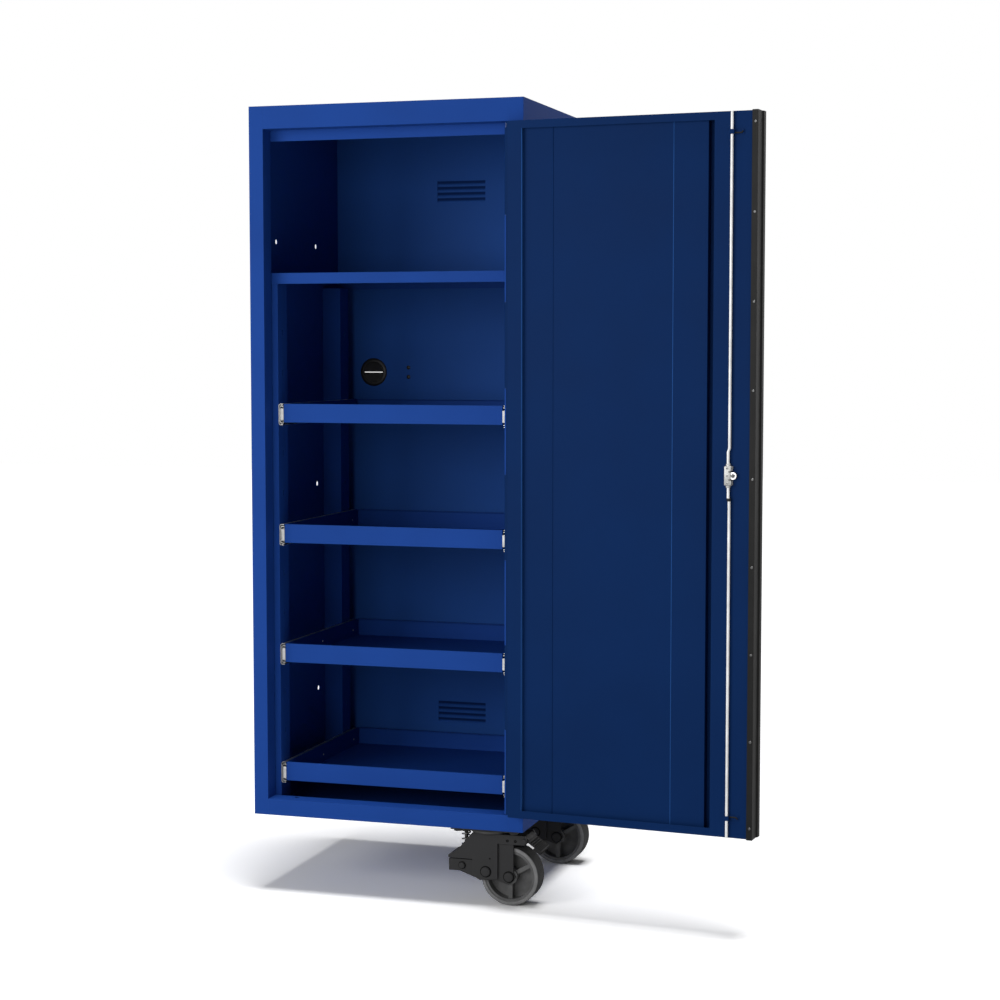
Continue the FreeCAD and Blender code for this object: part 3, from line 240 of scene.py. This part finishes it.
def moulded(name, colour, roughness, grain=0.25, shine=0.25):
    material, tree, shader = new_material(name)
    place = add_node(tree, "TexCoord").outputs["Object"]
    blotches = add_node(tree, "TexNoise", Vector=place, Scale=60.0).outputs["Fac"]
    pores = add_node(tree, "TexNoise", Vector=place, Scale=1400.0).outputs["Fac"]
    skin = add_node(tree, "Bump", Strength=grain, Distance=0.0003, Height=pores)
    sheen = add_node(tree, "MapRange", Value=blotches,
                     To_Min=roughness - 0.1, To_Max=roughness + 0.1)
    fill(shader, Base_Color=two_tones(tree, blotches, colour, 0.8, 1.15),
         Roughness=sheen.outputs["Result"], Normal=skin.outputs["Normal"],
         Specular_IOR_Level=shine)
    return material


def spun(mesh, profile, place, steps, ring=False):
    """Turn (radius, height) points once round the Z axis and place the result."""
    old = set(mesh.verts)
    points = [mesh.verts.new((radius, 0, height)) for radius, height in profile]
    edges = [mesh.edges.new(pair) for pair in zip(points, points[1:])]
    if ring:
        edges.append(mesh.edges.new((points[-1], points[0])))
    bmesh.ops.spin(mesh, geom=points + edges, cent=(0, 0, 0), axis=(0, 0, 1),
                   angle=2 * math.pi, steps=steps, use_merge=True)
    new = [vert for vert in mesh.verts if vert not in old]
    bmesh.ops.remove_doubles(mesh, verts=new, dist=1e-7)
    new = [vert for vert in mesh.verts if vert not in old]
    bmesh.ops.transform(mesh, matrix=place, verts=new)


def place_piece(name, mesh, body, material):
    """Finish a piece and let it ride on its body. A piece that blends has no body of its own."""
    bmesh.ops.recalc_face_normals(mesh, faces=mesh.faces)
    piece = mesh_object(name, mesh, material)
    piece.data.shade_smooth()
    piece.data.set_sharp_from_angle(angle=math.radians(35))
    if body:
        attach(piece, body)
    return piece


to_front = Matrix.Rotation(math.radians(90), 4, "X")
black_nylon = moulded("black_nylon", (0.012, 0.012, 0.013), 0.45)
back_face = 0.251
plugs = bmesh.new()
for height in (0.212, 0.234):
    spun(plugs, [(0, 0.0018), (0.0025, 0.0016), (0.0044, 0.0009), (0.0048, 0.0002), (0.0044, 0),
                 (0.0034, 0), (0.0034, -0.002), (0, -0.0022)],
         Matrix.Translation((0.178, back_face, height)) @ to_front, steps=20)
place_piece("tie_hole_plugs", plugs, "cabinet", black_nylon)

# The cable grommet is a moulded black ring that snaps into the back. A split brush of stiff black
# bristles closes it round the cables.
grommet_x, grommet_z = 0.091, 0.223
rim = bmesh.new()
spun(rim, [(0.023, 0), (0.023, 0.0016), (0.0242, 0.0028), (0.0262, 0.003), (0.0298, 0.0024),
           (0.0322, 0.0014), (0.033, 0.0004), (0.033, 0)],
     Matrix.Translation((grommet_x, back_face, grommet_z)) @ to_front, steps=48, ring=True)
rim_piece = place_piece("grommet_ring", rim, "cabinet", black_nylon)
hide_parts("cable_grommet")
bristle_black = moulded("bristle_black", (0.03, 0.03, 0.031), 0.6)
finish_nodes(bristle_black, "grommet_brush")
brush_radius, half_slit, bristle_pitch = 0.0228, 0.001, 0.00178
bristles = bmesh.new()
for k in range(-12, 13):
    across = k * bristle_pitch
    reach = math.sqrt(brush_radius ** 2 - across ** 2)
    for way in (-1, 1):
        bristle = bmesh.ops.create_cone(bristles, cap_ends=True, segments=5, radius1=0.0007,
                                        radius2=0.0009, depth=reach - half_slit)["verts"]
        bmesh.ops.rotate(bristles, verts=bristle, cent=(0, 0, 0),
                         matrix=Matrix.Rotation(0 if way < 0 else math.pi, 3, "X"))
        bmesh.ops.translate(bristles, verts=bristle, vec=(
            grommet_x + across, 0.2504, grommet_z + way * (reach + half_slit) / 2))
place_piece("grommet_bristles", bristles, "cabinet", bristle_black)

# The fixed shelf is a folded pan that is welded between the sides under the top compartment.
# Below it stand four slotted uprights, folded channels that carry the slides.
finish_nodes(cabinet_blue, "fixed_shelf", "left_uprights", "right_uprights")


# Each tray runs on a pair of telescoping slides in zinc-plated steel. Every slide is three channels
# with two rows of balls between each pair, held in black retainers, and white caps on its end.
def machined_metal(name, colour, roughness, grain=(1, 1, 1), metallic=1.0, shine=0.5):
    """Bare or plated metal. Its fine tool lines run along the axis with the smallest grain."""
    material, tree, shader = new_material(name)
    place = add_node(tree, "TexCoord").outputs["Object"]
    stretch = add_node(tree, "Mapping", Vector=place, Scale=grain).outputs["Vector"]
    lines = add_node(tree, "TexNoise", Vector=stretch, Scale=420.0, Detail=4.0).outputs["Fac"]
    patches = add_node(tree, "TexNoise", Vector=place, Scale=35.0, Detail=3.0).outputs["Fac"]
    sheen = add_node(tree, "MapRange", Value=lines,
                     To_Min=roughness - 0.08, To_Max=roughness + 0.12)
    rounded = add_node(tree, "Bevel", [("samples", 4)], Radius=0.0005).outputs["Normal"]
    skin = add_node(tree, "Bump", Strength=0.12, Distance=0.0002, Height=lines, Normal=rounded)
    fill(shader, Base_Color=two_tones(tree, patches, colour, 0.82, 1.12),
         Roughness=sheen.outputs["Result"], Normal=skin.outputs["Normal"],
         Metallic=metallic, Specular_IOR_Level=shine)
    return material


def rounded_block(mesh, low, high, radius, place=Matrix(), segments=2):
    block = bmesh.ops.create_cube(mesh, size=1.0)["verts"]
    bmesh.ops.scale(mesh, verts=block, vec=[b - a for a, b in zip(low, high)])
    bmesh.ops.translate(mesh, verts=block, vec=[(a + b) / 2 for a, b in zip(low, high)])
    bmesh.ops.transform(mesh, matrix=place, verts=block)
    bmesh.ops.bevel(mesh, geom=list({edge for vert in block for edge in vert.link_edges}),
                    offset=radius, offset_type="OFFSET", segments=segments, profile=0.5,
                    affect="EDGES", material=-1)


zinc = machined_metal("zinc_plate", (0.62, 0.62, 0.6), 0.32, grain=(1, 0.04, 1))
finish_nodes(zinc, "slide_cabinet_members")
bright_steel = machined_metal("ball_steel", (0.75, 0.75, 0.76), 0.18)
white_nylon = moulded("white_nylon", (0.72, 0.72, 0.70), 0.4)
tray_centres = (0.137, -0.124, -0.385, -0.646)


def ball_rows(body, name, centre, across, rise, radius, spread):
    """Rows above and below the centre of both slides, set in from the uprights by across."""
    left_upright, right_upright = 0.045, 0.5646
    first_ball, ball_pitch, ball_count = -0.2045, 0.0088, 14
    balls = bmesh.new()
    retainers = bmesh.new()
    for x in (left_upright + across, right_upright - across):
        for way in (-1, 1):
            height = centre + way * rise
            rounded_block(retainers, (x - spread, -0.2085, height - 0.0003),
                          (x + spread, -0.0865, height + 0.0003), 0.0002, segments=1)
            for k in range(ball_count):
                ball = bmesh.ops.create_uvsphere(balls, u_segments=8, v_segments=5, radius=radius)
                bmesh.ops.translate(balls, verts=ball["verts"],
                                    vec=(x, first_ball + ball_pitch * k, height))
    place_piece(name + "_balls", balls, body, bright_steel)
    place_piece(name + "_retainers", retainers, body, black_nylon)


for number, centre in enumerate(tray_centres, start=1):
    tray = "tray_%d" % number
    finish_nodes(zinc, tray + "_middle_slides", tray + "_inner_slides")
    ball_rows("cabinet", tray + "_outer", centre,
              across=0.0068, rise=0.02035, radius=0.0013, spread=0.003)
    ball_rows(tray + "_middle", tray + "_inner", centre,
              across=0.0082, rise=0.01535, radius=0.0023, spread=0.0026)
    end_caps = bmesh.new()
    for cap_x, plug_x in (((0.0504, 0.0574), (0.0518, 0.0562)),
                          ((0.5522, 0.5592), (0.5534, 0.5578))):
        rounded_block(end_caps, (cap_x[0], -0.2138, centre - 0.0127),
                      (cap_x[1], -0.2108, centre + 0.0127), 0.0011)
        rounded_block(end_caps, (plug_x[0], -0.2112, centre - 0.0112),
                      (plug_x[1], -0.196, centre + 0.0112), 0.0006)
    place_piece(tray + "_slide_caps", end_caps, tray + "_carriage", white_nylon)

# The four trays are shallow folded pans with hemmed fronts. Three rivets on each side hold a tray
# to its inner slide members.
finish_nodes(cabinet_blue, "tray_1", "tray_2", "tray_3", "tray_4")
button_head = [(0, 0.001), (0.0012, 0.00095), (0.0021, 0.0006), (0.0025, 0), (0, 0)]
for number, centre in enumerate(tray_centres, start=1):
    rivets = bmesh.new()
    for x, inward in ((0.0589, 90), (0.5507, -90)):
        turn = Matrix.Rotation(math.radians(inward), 4, "Y")
        for depth in (-0.19, 0.0, 0.19):
            spun(rivets, button_head, Matrix.Translation((x, depth, centre)) @ turn, steps=16)
    place_piece("tray_%d_rivets" % number, rivets, "tray_%d_carriage" % number, zinc)

# The door is a deep folded pan with a sunk inner panel and a channel for the lock rods. It has the
# same coat as the shell, with painted shade making it darker, and is welded up in one piece. Two
# narrow folds and a seam run down the inner panel.
door_blue_painted_shade = powder_coat("door_blue_painted_shade", (0.003, 0.021, 0.092), (0.012, 0.045, 0.16))
finish_nodes(door_blue_painted_shade, "door_pan", "door_inner_panel", "door_latch_channel")
# On the door, X runs from the hinge pin to the free edge and -Y out of the inner face.
door_place = (Matrix.Translation((0.57385, -0.2555, 0)) @ Matrix.Rotation(math.radians(-5), 4, "Z")
              @ Matrix.Translation((0, -0.0295, 0)))
# The two folds are painted far lighter than the door: a painted highlight where they catch the
# light.
fold_blue_painted_highlight = powder_coat("fold_blue_painted_highlight", (0.017, 0.075, 0.26), (0.02, 0.075, 0.25))
panel_low, panel_high, panel_face = -0.6905, 0.7375, 0.0095
folds = bmesh.new()
for across, front in ((0.0446, 0.0004), (0.3649, 0.0084)):
    rounded_block(folds, (across - 0.0009, front, panel_low),
                  (across + 0.0009, panel_face, panel_high), 0.0004, door_place)
place_piece("panel_edge_folds", folds, "door", fold_blue_painted_highlight)
seam = bmesh.new()
rounded_block(seam, (0.1080, 0.0080, panel_low), (0.1108, panel_face, panel_high), 0.0005,
              door_place)
place_piece("panel_seam", seam, "door", door_blue_painted_shade)

# The piano hinge is two rolled leaves on one long pin. The leaves are coated with the door and the
# shell; the pin is bare zinc-plated wire.
finish_nodes(door_blue_painted_shade, "hinge_door_leaf")
finish_nodes(cabinet_blue, "hinge_frame_leaf")
finish_nodes(zinc, "hinge_pin")

# The handle is an extruded aluminium pull along the whole free edge, anodised nearly black. Nine
# button screws hold it, and moulded caps close its ends.
dark_anodised = machined_metal("dark_anodised", (0.010, 0.010, 0.010), 0.45, grain=(1, 1, 0.02),
                               metallic=0.0, shine=0.12)
finish_nodes(dark_anodised, "door_handle")
finish_nodes(black_nylon, "handle_end_caps")
screw_dark = machined_metal("screw_dark", (0.12, 0.12, 0.12), 0.35)
lowest_screw, screw_pitch = -0.6715, 0.17375
screws = bmesh.new()
for k in range(9):
    spun(screws, [(0, 0.0006), (0.0011, 0.0006), (0.0013, 0.0014), (0.0020, 0.0014),
                  (0.0027, 0.0009), (0.0030, 0.0002), (0.0030, 0), (0, 0)],
         door_place @ Matrix.Translation((0.533, -0.002, lowest_screw + screw_pitch * k))
         @ to_front, steps=24)
screw_piece = place_piece("handle_button_screws", screws, "door", screw_dark)
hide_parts("handle_screws")

# The latch is a die-cast case on the channel with a key lock through the door. The lock's cam
# drives two plated rods. Folded straps guide the rods at their ends, each with a short black wire
# clip.
cast_zinc = machined_metal("cast_zinc", (0.42, 0.42, 0.41), 0.42, metallic=0.5)
finish_nodes(zinc, "lock_cam")
finish_nodes(door_blue_painted_shade, "rod_guides")
case = bmesh.new()
rounded_block(case, (0.4777, -0.0105, 0.0120), (0.4862, 0, 0.0480), 0.0012, door_place)
rounded_block(case, (0.4777, -0.0109, 0.0112), (0.4902, -0.0086, 0.0488), 0.0011, door_place)
for low in (0.0105, 0.0390):
    rounded_block(case, (0.4777, -0.0106, low), (0.4926, 0, low + 0.0105), 0.0022, door_place, 3)
    rounded_block(case, (0.4767, -0.0030, low + 0.001), (0.4934, 0, low + 0.0095), 0.0010,
                  door_place)
for low in (0.0052, 0.0430):
    rounded_block(case, (0.4800, -0.0085, low), (0.4895, 0, low + 0.0118), 0.0030, door_place, 3)
for height, radius in ((0.0150, 0.0028), (0.0300, 0.0022), (0.0450, 0.0028)):
    spun(case, [(0, 0.0004), (0.5 * radius, 0.0004), (0.55 * radius, 0.0010),
                (0.9 * radius, 0.0009), (radius, 0), (radius, -0.001), (0, -0.001)],
         door_place @ Matrix.Translation((0.4840, -0.0105, height)) @ to_front, steps=20)
case_piece = place_piece("latch_case_casting", case, "door", cast_zinc)
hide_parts("latch_case")
case_screws = bmesh.new()
for height in (0.022, 0.038):
    spun(case_screws, [(0, 0.0002), (0.0007, 0.0002), (0.0009, 0.0006), (0.0015, 0.0004),
                       (0.0017, 0), (0.0017, -0.0006), (0, -0.0006)],
         door_place @ Matrix.Translation((0.4880, -0.0108, height)) @ to_front, steps=16)
place_piece("latch_case_screws", case_screws, "door", screw_dark)
barrel_end = door_place @ Matrix.Translation((0.4952, -0.0080, 0.030)) @ to_front
cam_nut = bmesh.new()
spun(cam_nut, [(0, 0), (0.0042, 0), (0.0042, 0.0016), (0.0036, 0.0022), (0, 0.0022)],
     barrel_end, steps=6)
spun(cam_nut, [(0, 0.0026), (0.0010, 0.0026), (0.0012, 0.0034), (0.0020, 0.0032),
               (0.0024, 0.0022), (0.0024, 0.0018), (0, 0.0018)], barrel_end, steps=20)
place_piece("cam_nut", cam_nut, "lock", screw_dark)


def extrude_end(mesh, end, step):
    """Push an end face along by a step and return the new end face and its edges and corners."""
    made = bmesh.ops.extrude_face_region(mesh, geom=[end, *end.edges, *end.verts])["geom"]
    bmesh.ops.translate(mesh, vec=step,
                        verts=[part for part in made if isinstance(part, bmesh.types.BMVert)])
    return made


def bent_rod(mesh, radius, stations, place):
    """A round rod through (x, height) stations, with short sloping bends between them."""
    rod = bmesh.ops.create_circle(mesh, cap_ends=True, segments=16, radius=radius)["verts"]
    start_x, start_height = stations[0]
    bmesh.ops.transform(mesh, matrix=place @ Matrix.Translation((start_x, 0, start_height)),
                        verts=rod)
    end = rod[0].link_faces[0]
    for here, there in zip(stations, stations[1:]):
        step = place.to_3x3() @ Vector((there[0] - here[0], 0, there[1] - here[1]))
        made = extrude_end(mesh, end, step)
        end = [part for part in made if isinstance(part, bmesh.types.BMFace)][0]


rod_axis = door_place @ Matrix.Translation((0.487, -0.005, 0))
rod_white = machined_metal("rod_plate", (0.95, 0.95, 0.94), 0.38, grain=(1, 1, 0.05), metallic=0.1)
rod_radius = 0.0029
rod = bmesh.new()
bent_rod(rod, rod_radius, [(-0.0025, 0.042), (-0.0025, 0.077), (0, 0.084), (0, 0.7395)], rod_axis)
piece = place_piece("upper_rod_plated", rod, "upper_rod", rod_white)
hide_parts("upper_latch_rod")
rod = bmesh.new()
bent_rod(rod, rod_radius, [(-0.002, 0.018), (-0.002, -0.013), (0, -0.021), (0, -0.6925)], rod_axis)
piece = place_piece("lower_rod_plated", rod, "lower_rod", rod_white)
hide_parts("lower_latch_rod")
collar = bmesh.new()
spun(collar, [(0.0026, -0.0205), (0.0037, -0.0205), (0.0041, -0.0198), (0.0041, -0.0152),
              (0.0037, -0.0145), (0.0026, -0.0145)],
     rod_axis @ Matrix.Translation((-0.0008, 0, 0)), steps=20, ring=True)
place_piece("lower_rod_collar", collar, "lower_rod", black_nylon)
clips = bmesh.new()
clip_x, clip_length, clip_bend = 0.4915, 0.0120, 0.005
door_turn = door_place.to_3x3()
for height, way in ((0.6980, 1), (-0.6510, -1)):
    tip = bmesh.ops.create_circle(clips, cap_ends=True, segments=12, radius=0.0015)["verts"]
    bmesh.ops.transform(clips, matrix=door_place @ Matrix.Translation((clip_x, -0.0026, height))
                        @ Matrix.Rotation(math.pi / 2, 4, "Y"), verts=tip)
    straight = extrude_end(clips, tip[0].link_faces[0], door_turn @ Vector((clip_length, 0, 0)))
    bmesh.ops.spin(clips, geom=straight, axis=door_turn @ Vector((0, -way, 0)),
                   cent=door_place @ Vector((clip_x + clip_length, -0.0026,
                                             height + way * clip_bend)),
                   angle=math.radians(75), steps=8)
place_piece("rod_guide_clips", clips, "door", dark_anodised)

# Two sprung casters carry the right side. Each is a charcoal-coated fork that swivels under a
# bolted plate, with a swing arm that a coil spring and a draw bolt pull against the fork's ledge.
charcoal = powder_coat("charcoal_coat", (0.040, 0.040, 0.041), (0.075, 0.075, 0.076), 0.38)
finish_nodes(charcoal, "caster_plates", "caster_bolts")
spring_steel = machined_metal("spring_steel", (0.30, 0.30, 0.30), 0.3)
bolt_black = machined_metal("bolt_black", (0.05, 0.05, 0.05), 0.45, metallic=0.4)
# Near-black painted shade for the casters' small dark marks: washers under the bolt heads and the
# fork's rivets.
painted_shade_black = moulded("painted_shade_black", (0.003, 0.003, 0.003), 0.6, shine=0.05)
# Each caster is given by its name and its depth, each pin by its x, its height and its radius.
casters = (("front", -0.188), ("rear", 0.188))
arm_pivot = (0.518, -0.829, 0.006)
axle = (0.568, -0.838, 0.006)
draw_pin = (0.464, -0.820, 0.004)
pedal_pin = (0.604, -0.758, 0.003)
kingpin_x, fork_face, arm_face = 0.520, 0.0345, 0.030
coil_radius, wire_radius, coil_foot, coil_rise = 0.009, 0.0017, -0.7963, 0.0426
coil_turns, coil_steps = 4, 96


def both_ways(mesh, pin, centre_y, profile, ring=False):
    """Spin a profile about a pin's axis, once to the front and once to the back."""
    for way in (90, -90):
        spun(mesh, profile, Matrix.Translation((pin[0], centre_y, pin[1]))
             @ Matrix.Rotation(math.radians(way), 4, "X"), steps=28, ring=ring)


def domed_bolt(mesh, pin, inner, seat, centre_y):
    """Both halves of a bolt across the caster: a shank from inner to seat and a domed head."""
    radius = pin[2]
    both_ways(mesh, pin, centre_y, [
        (0, inner), (radius, inner), (radius, seat), (1.7 * radius, seat),
        (1.7 * radius, seat + 0.0026), (1.5 * radius, seat + 0.0042),
        (0.9 * radius, seat + 0.0049), (0, seat + 0.005)])


def washer(mesh, pin, seat, centre_y):
    radius = pin[2]
    both_ways(mesh, pin, centre_y, [
        (1.1 * radius, seat), (2.05 * radius, seat), (2.05 * radius, seat + 0.0007),
        (1.95 * radius, seat + 0.0010), (1.1 * radius, seat + 0.0010)], ring=True)


for side, y in casters:
    caster = side + "_caster_"
    finish_nodes(charcoal, caster + "fork", caster + "swing_arm")
    finish_nodes(bolt_black, caster + "draw_bolt")
    race = bmesh.new()
    spun(race, [(0.0405, -0.7465), (0.0432, -0.7465), (0.0446, -0.7450), (0.0446, -0.7410),
                (0.0432, -0.7392), (0.0405, -0.7392)],
         Matrix.Translation((kingpin_x, y, 0)), steps=48, ring=True)
    spun(race, [(0, -0.7475), (0.0095, -0.7475), (0.0095, -0.7515), (0.0075, -0.7535),
                (0, -0.7535)], Matrix.Translation((kingpin_x, y, 0)), steps=6)
    place_piece(caster + "swivel_race", race, side + "_fork", bolt_black)

    fork_bolts = bmesh.new()
    domed_bolt(fork_bolts, arm_pivot, 0.026, fork_face, y)
    domed_bolt(fork_bolts, pedal_pin, 0.0, fork_face, y)
    piece = place_piece(caster + "fork_bolt_set", fork_bolts, side + "_fork", charcoal)
    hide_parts(caster + "fork_bolts")
    arm_bolts = bmesh.new()
    domed_bolt(arm_bolts, axle, 0.0, arm_face, y)
    domed_bolt(arm_bolts, draw_pin, 0.0, arm_face, y)
    piece = place_piece(caster + "arm_bolt_set", arm_bolts, side + "_arm", charcoal)
    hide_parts(caster + "arm_bolts")
    # The washers under the bolt heads are near-black: painted shade for the dark crescents round
    # the heads.
    washers = bmesh.new()
    washer(washers, arm_pivot, fork_face, y)
    place_piece(caster + "pivot_washers", washers, side + "_fork", painted_shade_black)
    washers = bmesh.new()
    washer(washers, axle, arm_face, y)
    washer(washers, draw_pin, arm_face, y)
    place_piece(caster + "arm_washers", washers, side + "_arm", painted_shade_black)

    # The rivet heads and the small square block are painted near-black: painted shade for dark
    # holes in the fork's nose.
    rivets = bmesh.new()
    for way in (-1, 1):
        face = y + way * fork_face
        turn = Matrix.Rotation(math.radians(-90 * way), 4, "X")
        for x in (0.566, 0.5835):
            spun(rivets, [(0, -0.0002), (0.0014, 0.0001), (0.0022, 0.0008), (0.0029, 0.0005),
                          (0.0032, -0.0008), (0, -0.0008)],
                 Matrix.Translation((x, face, -0.7595)) @ turn, steps=16)
        rounded_block(rivets, (0.5255, face - 0.0006, -0.8020),
                      (0.5287, face + 0.0006, -0.7988), 0.0003)
    place_piece(caster + "fork_rivets", rivets, side + "_fork", painted_shade_black)

    spring = bmesh.new()
    wire = bmesh.ops.create_circle(spring, cap_ends=True, segments=10, radius=wire_radius)["verts"]
    bmesh.ops.rotate(spring, verts=wire, cent=(0, 0, 0),
                     matrix=Matrix.Rotation(math.pi / 2, 3, "X"))
    bmesh.ops.translate(spring, verts=wire, vec=(coil_radius, 0, coil_foot))
    bmesh.ops.spin(spring, geom=[*spring.verts, *spring.edges, *spring.faces],
                   cent=(0, 0, 0), axis=(0, 0, 1), dvec=(0, 0, coil_rise / coil_steps),
                   angle=2 * math.pi * coil_turns, steps=coil_steps)
    bmesh.ops.translate(spring, verts=spring.verts, vec=(draw_pin[0], y, 0))
    piece = place_piece(caster + "coil_spring", spring, None, spring_steel)
    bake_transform(piece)
    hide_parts(caster + "spring")

# The wheels have ribbed hubs and wide moulded tyres of one rubber: the body is painted lighter as
# painted light, and the band of tread, with four grooves round it, darker as painted shade. Each
# turns on the bolt through its swing arm.
wheel_grey = moulded("wheel_grey", (0.10, 0.10, 0.101), 0.5)
tyre_side_painted_light = moulded("tyre_side_painted_light", (0.19, 0.19, 0.192), 0.55, grain=0.4)
tread_painted_shade = moulded("tread_painted_shade", (0.040, 0.040, 0.041), 0.7, grain=0.5)


def mirrored(points):
    return [(radius, -height) for radius, height in reversed(points)]


side_wall = [(0.0545, 0.0228), (0.0558, 0.0249), (0.0600, 0.0250), (0.0620, 0.0242),
             (0.0626, 0.0230)]
shoulder = [(0.0618, 0.0234), (0.0630, 0.0228), (0.0635, 0.0212)]
grooves = []
for middle in (0.0135, 0.0045, -0.0045, -0.0135):
    grooves += [(0.0635, middle + 0.0014), (0.0624, middle + 0.0008), (0.0624, middle - 0.0008),
                (0.0635, middle - 0.0014)]
for side, y in casters:
    caster = side + "_caster_"
    finish_nodes(wheel_grey, caster + "wheel")
    wheel_place = Matrix.Translation((axle[0], y, axle[1])) @ to_front
    tyre = bmesh.new()
    spun(tyre, side_wall + mirrored(side_wall), wheel_place, steps=64, ring=True)
    piece = place_piece(caster + "tyre_body", tyre, side + "_wheel", tyre_side_painted_light)
    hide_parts(caster + "tyre")
    band = bmesh.new()
    spun(band, shoulder + grooves + mirrored(shoulder), wheel_place, steps=64, ring=True)
    place_piece(caster + "tread_band", band, side + "_wheel", tread_painted_shade)

# A foot pedal with a grooved rubber-black pad hangs on a pin across the nose of each fork and holds
# the wheel when it is pressed down.
pedal_black = moulded("pedal_black", (0.016, 0.016, 0.017), 0.55, shine=0.12)
pad_rubber = moulded("pad_rubber", (0.006, 0.006, 0.006), 0.75, grain=0.6, shine=0.08)
for side, y in casters:
    caster = side + "_caster_"
    finish_nodes(pedal_black, caster + "brake_pedal")
    pedal_place = (Matrix.Translation((pedal_pin[0], y, pedal_pin[1]))
                   @ Matrix.Rotation(math.radians(35), 4, "Y"))
    ribs = bmesh.new()
    for along in (0.0105, 0.0160, 0.0215):
        rounded_block(ribs, (along, -0.027, 0.0035), (along + 0.0032, 0.027, 0.0062), 0.0010,
                      pedal_place)
    for along in (0.0262, 0.0298, 0.0334, 0.0370):
        rounded_block(ribs, (along, -0.0275, 0.0035), (along + 0.0018, 0.0275, 0.0056), 0.0006,
                      pedal_place)
    for down in (-0.0040, -0.0008, 0.0024):
        rounded_block(ribs, (0.0416, -0.0270, down - 0.0008), (0.0430, 0.0270, down + 0.0008),
                      0.0005, pedal_place)
    place_piece(caster + "pedal_ribs", ribs, side + "_pedal", pad_rubber)
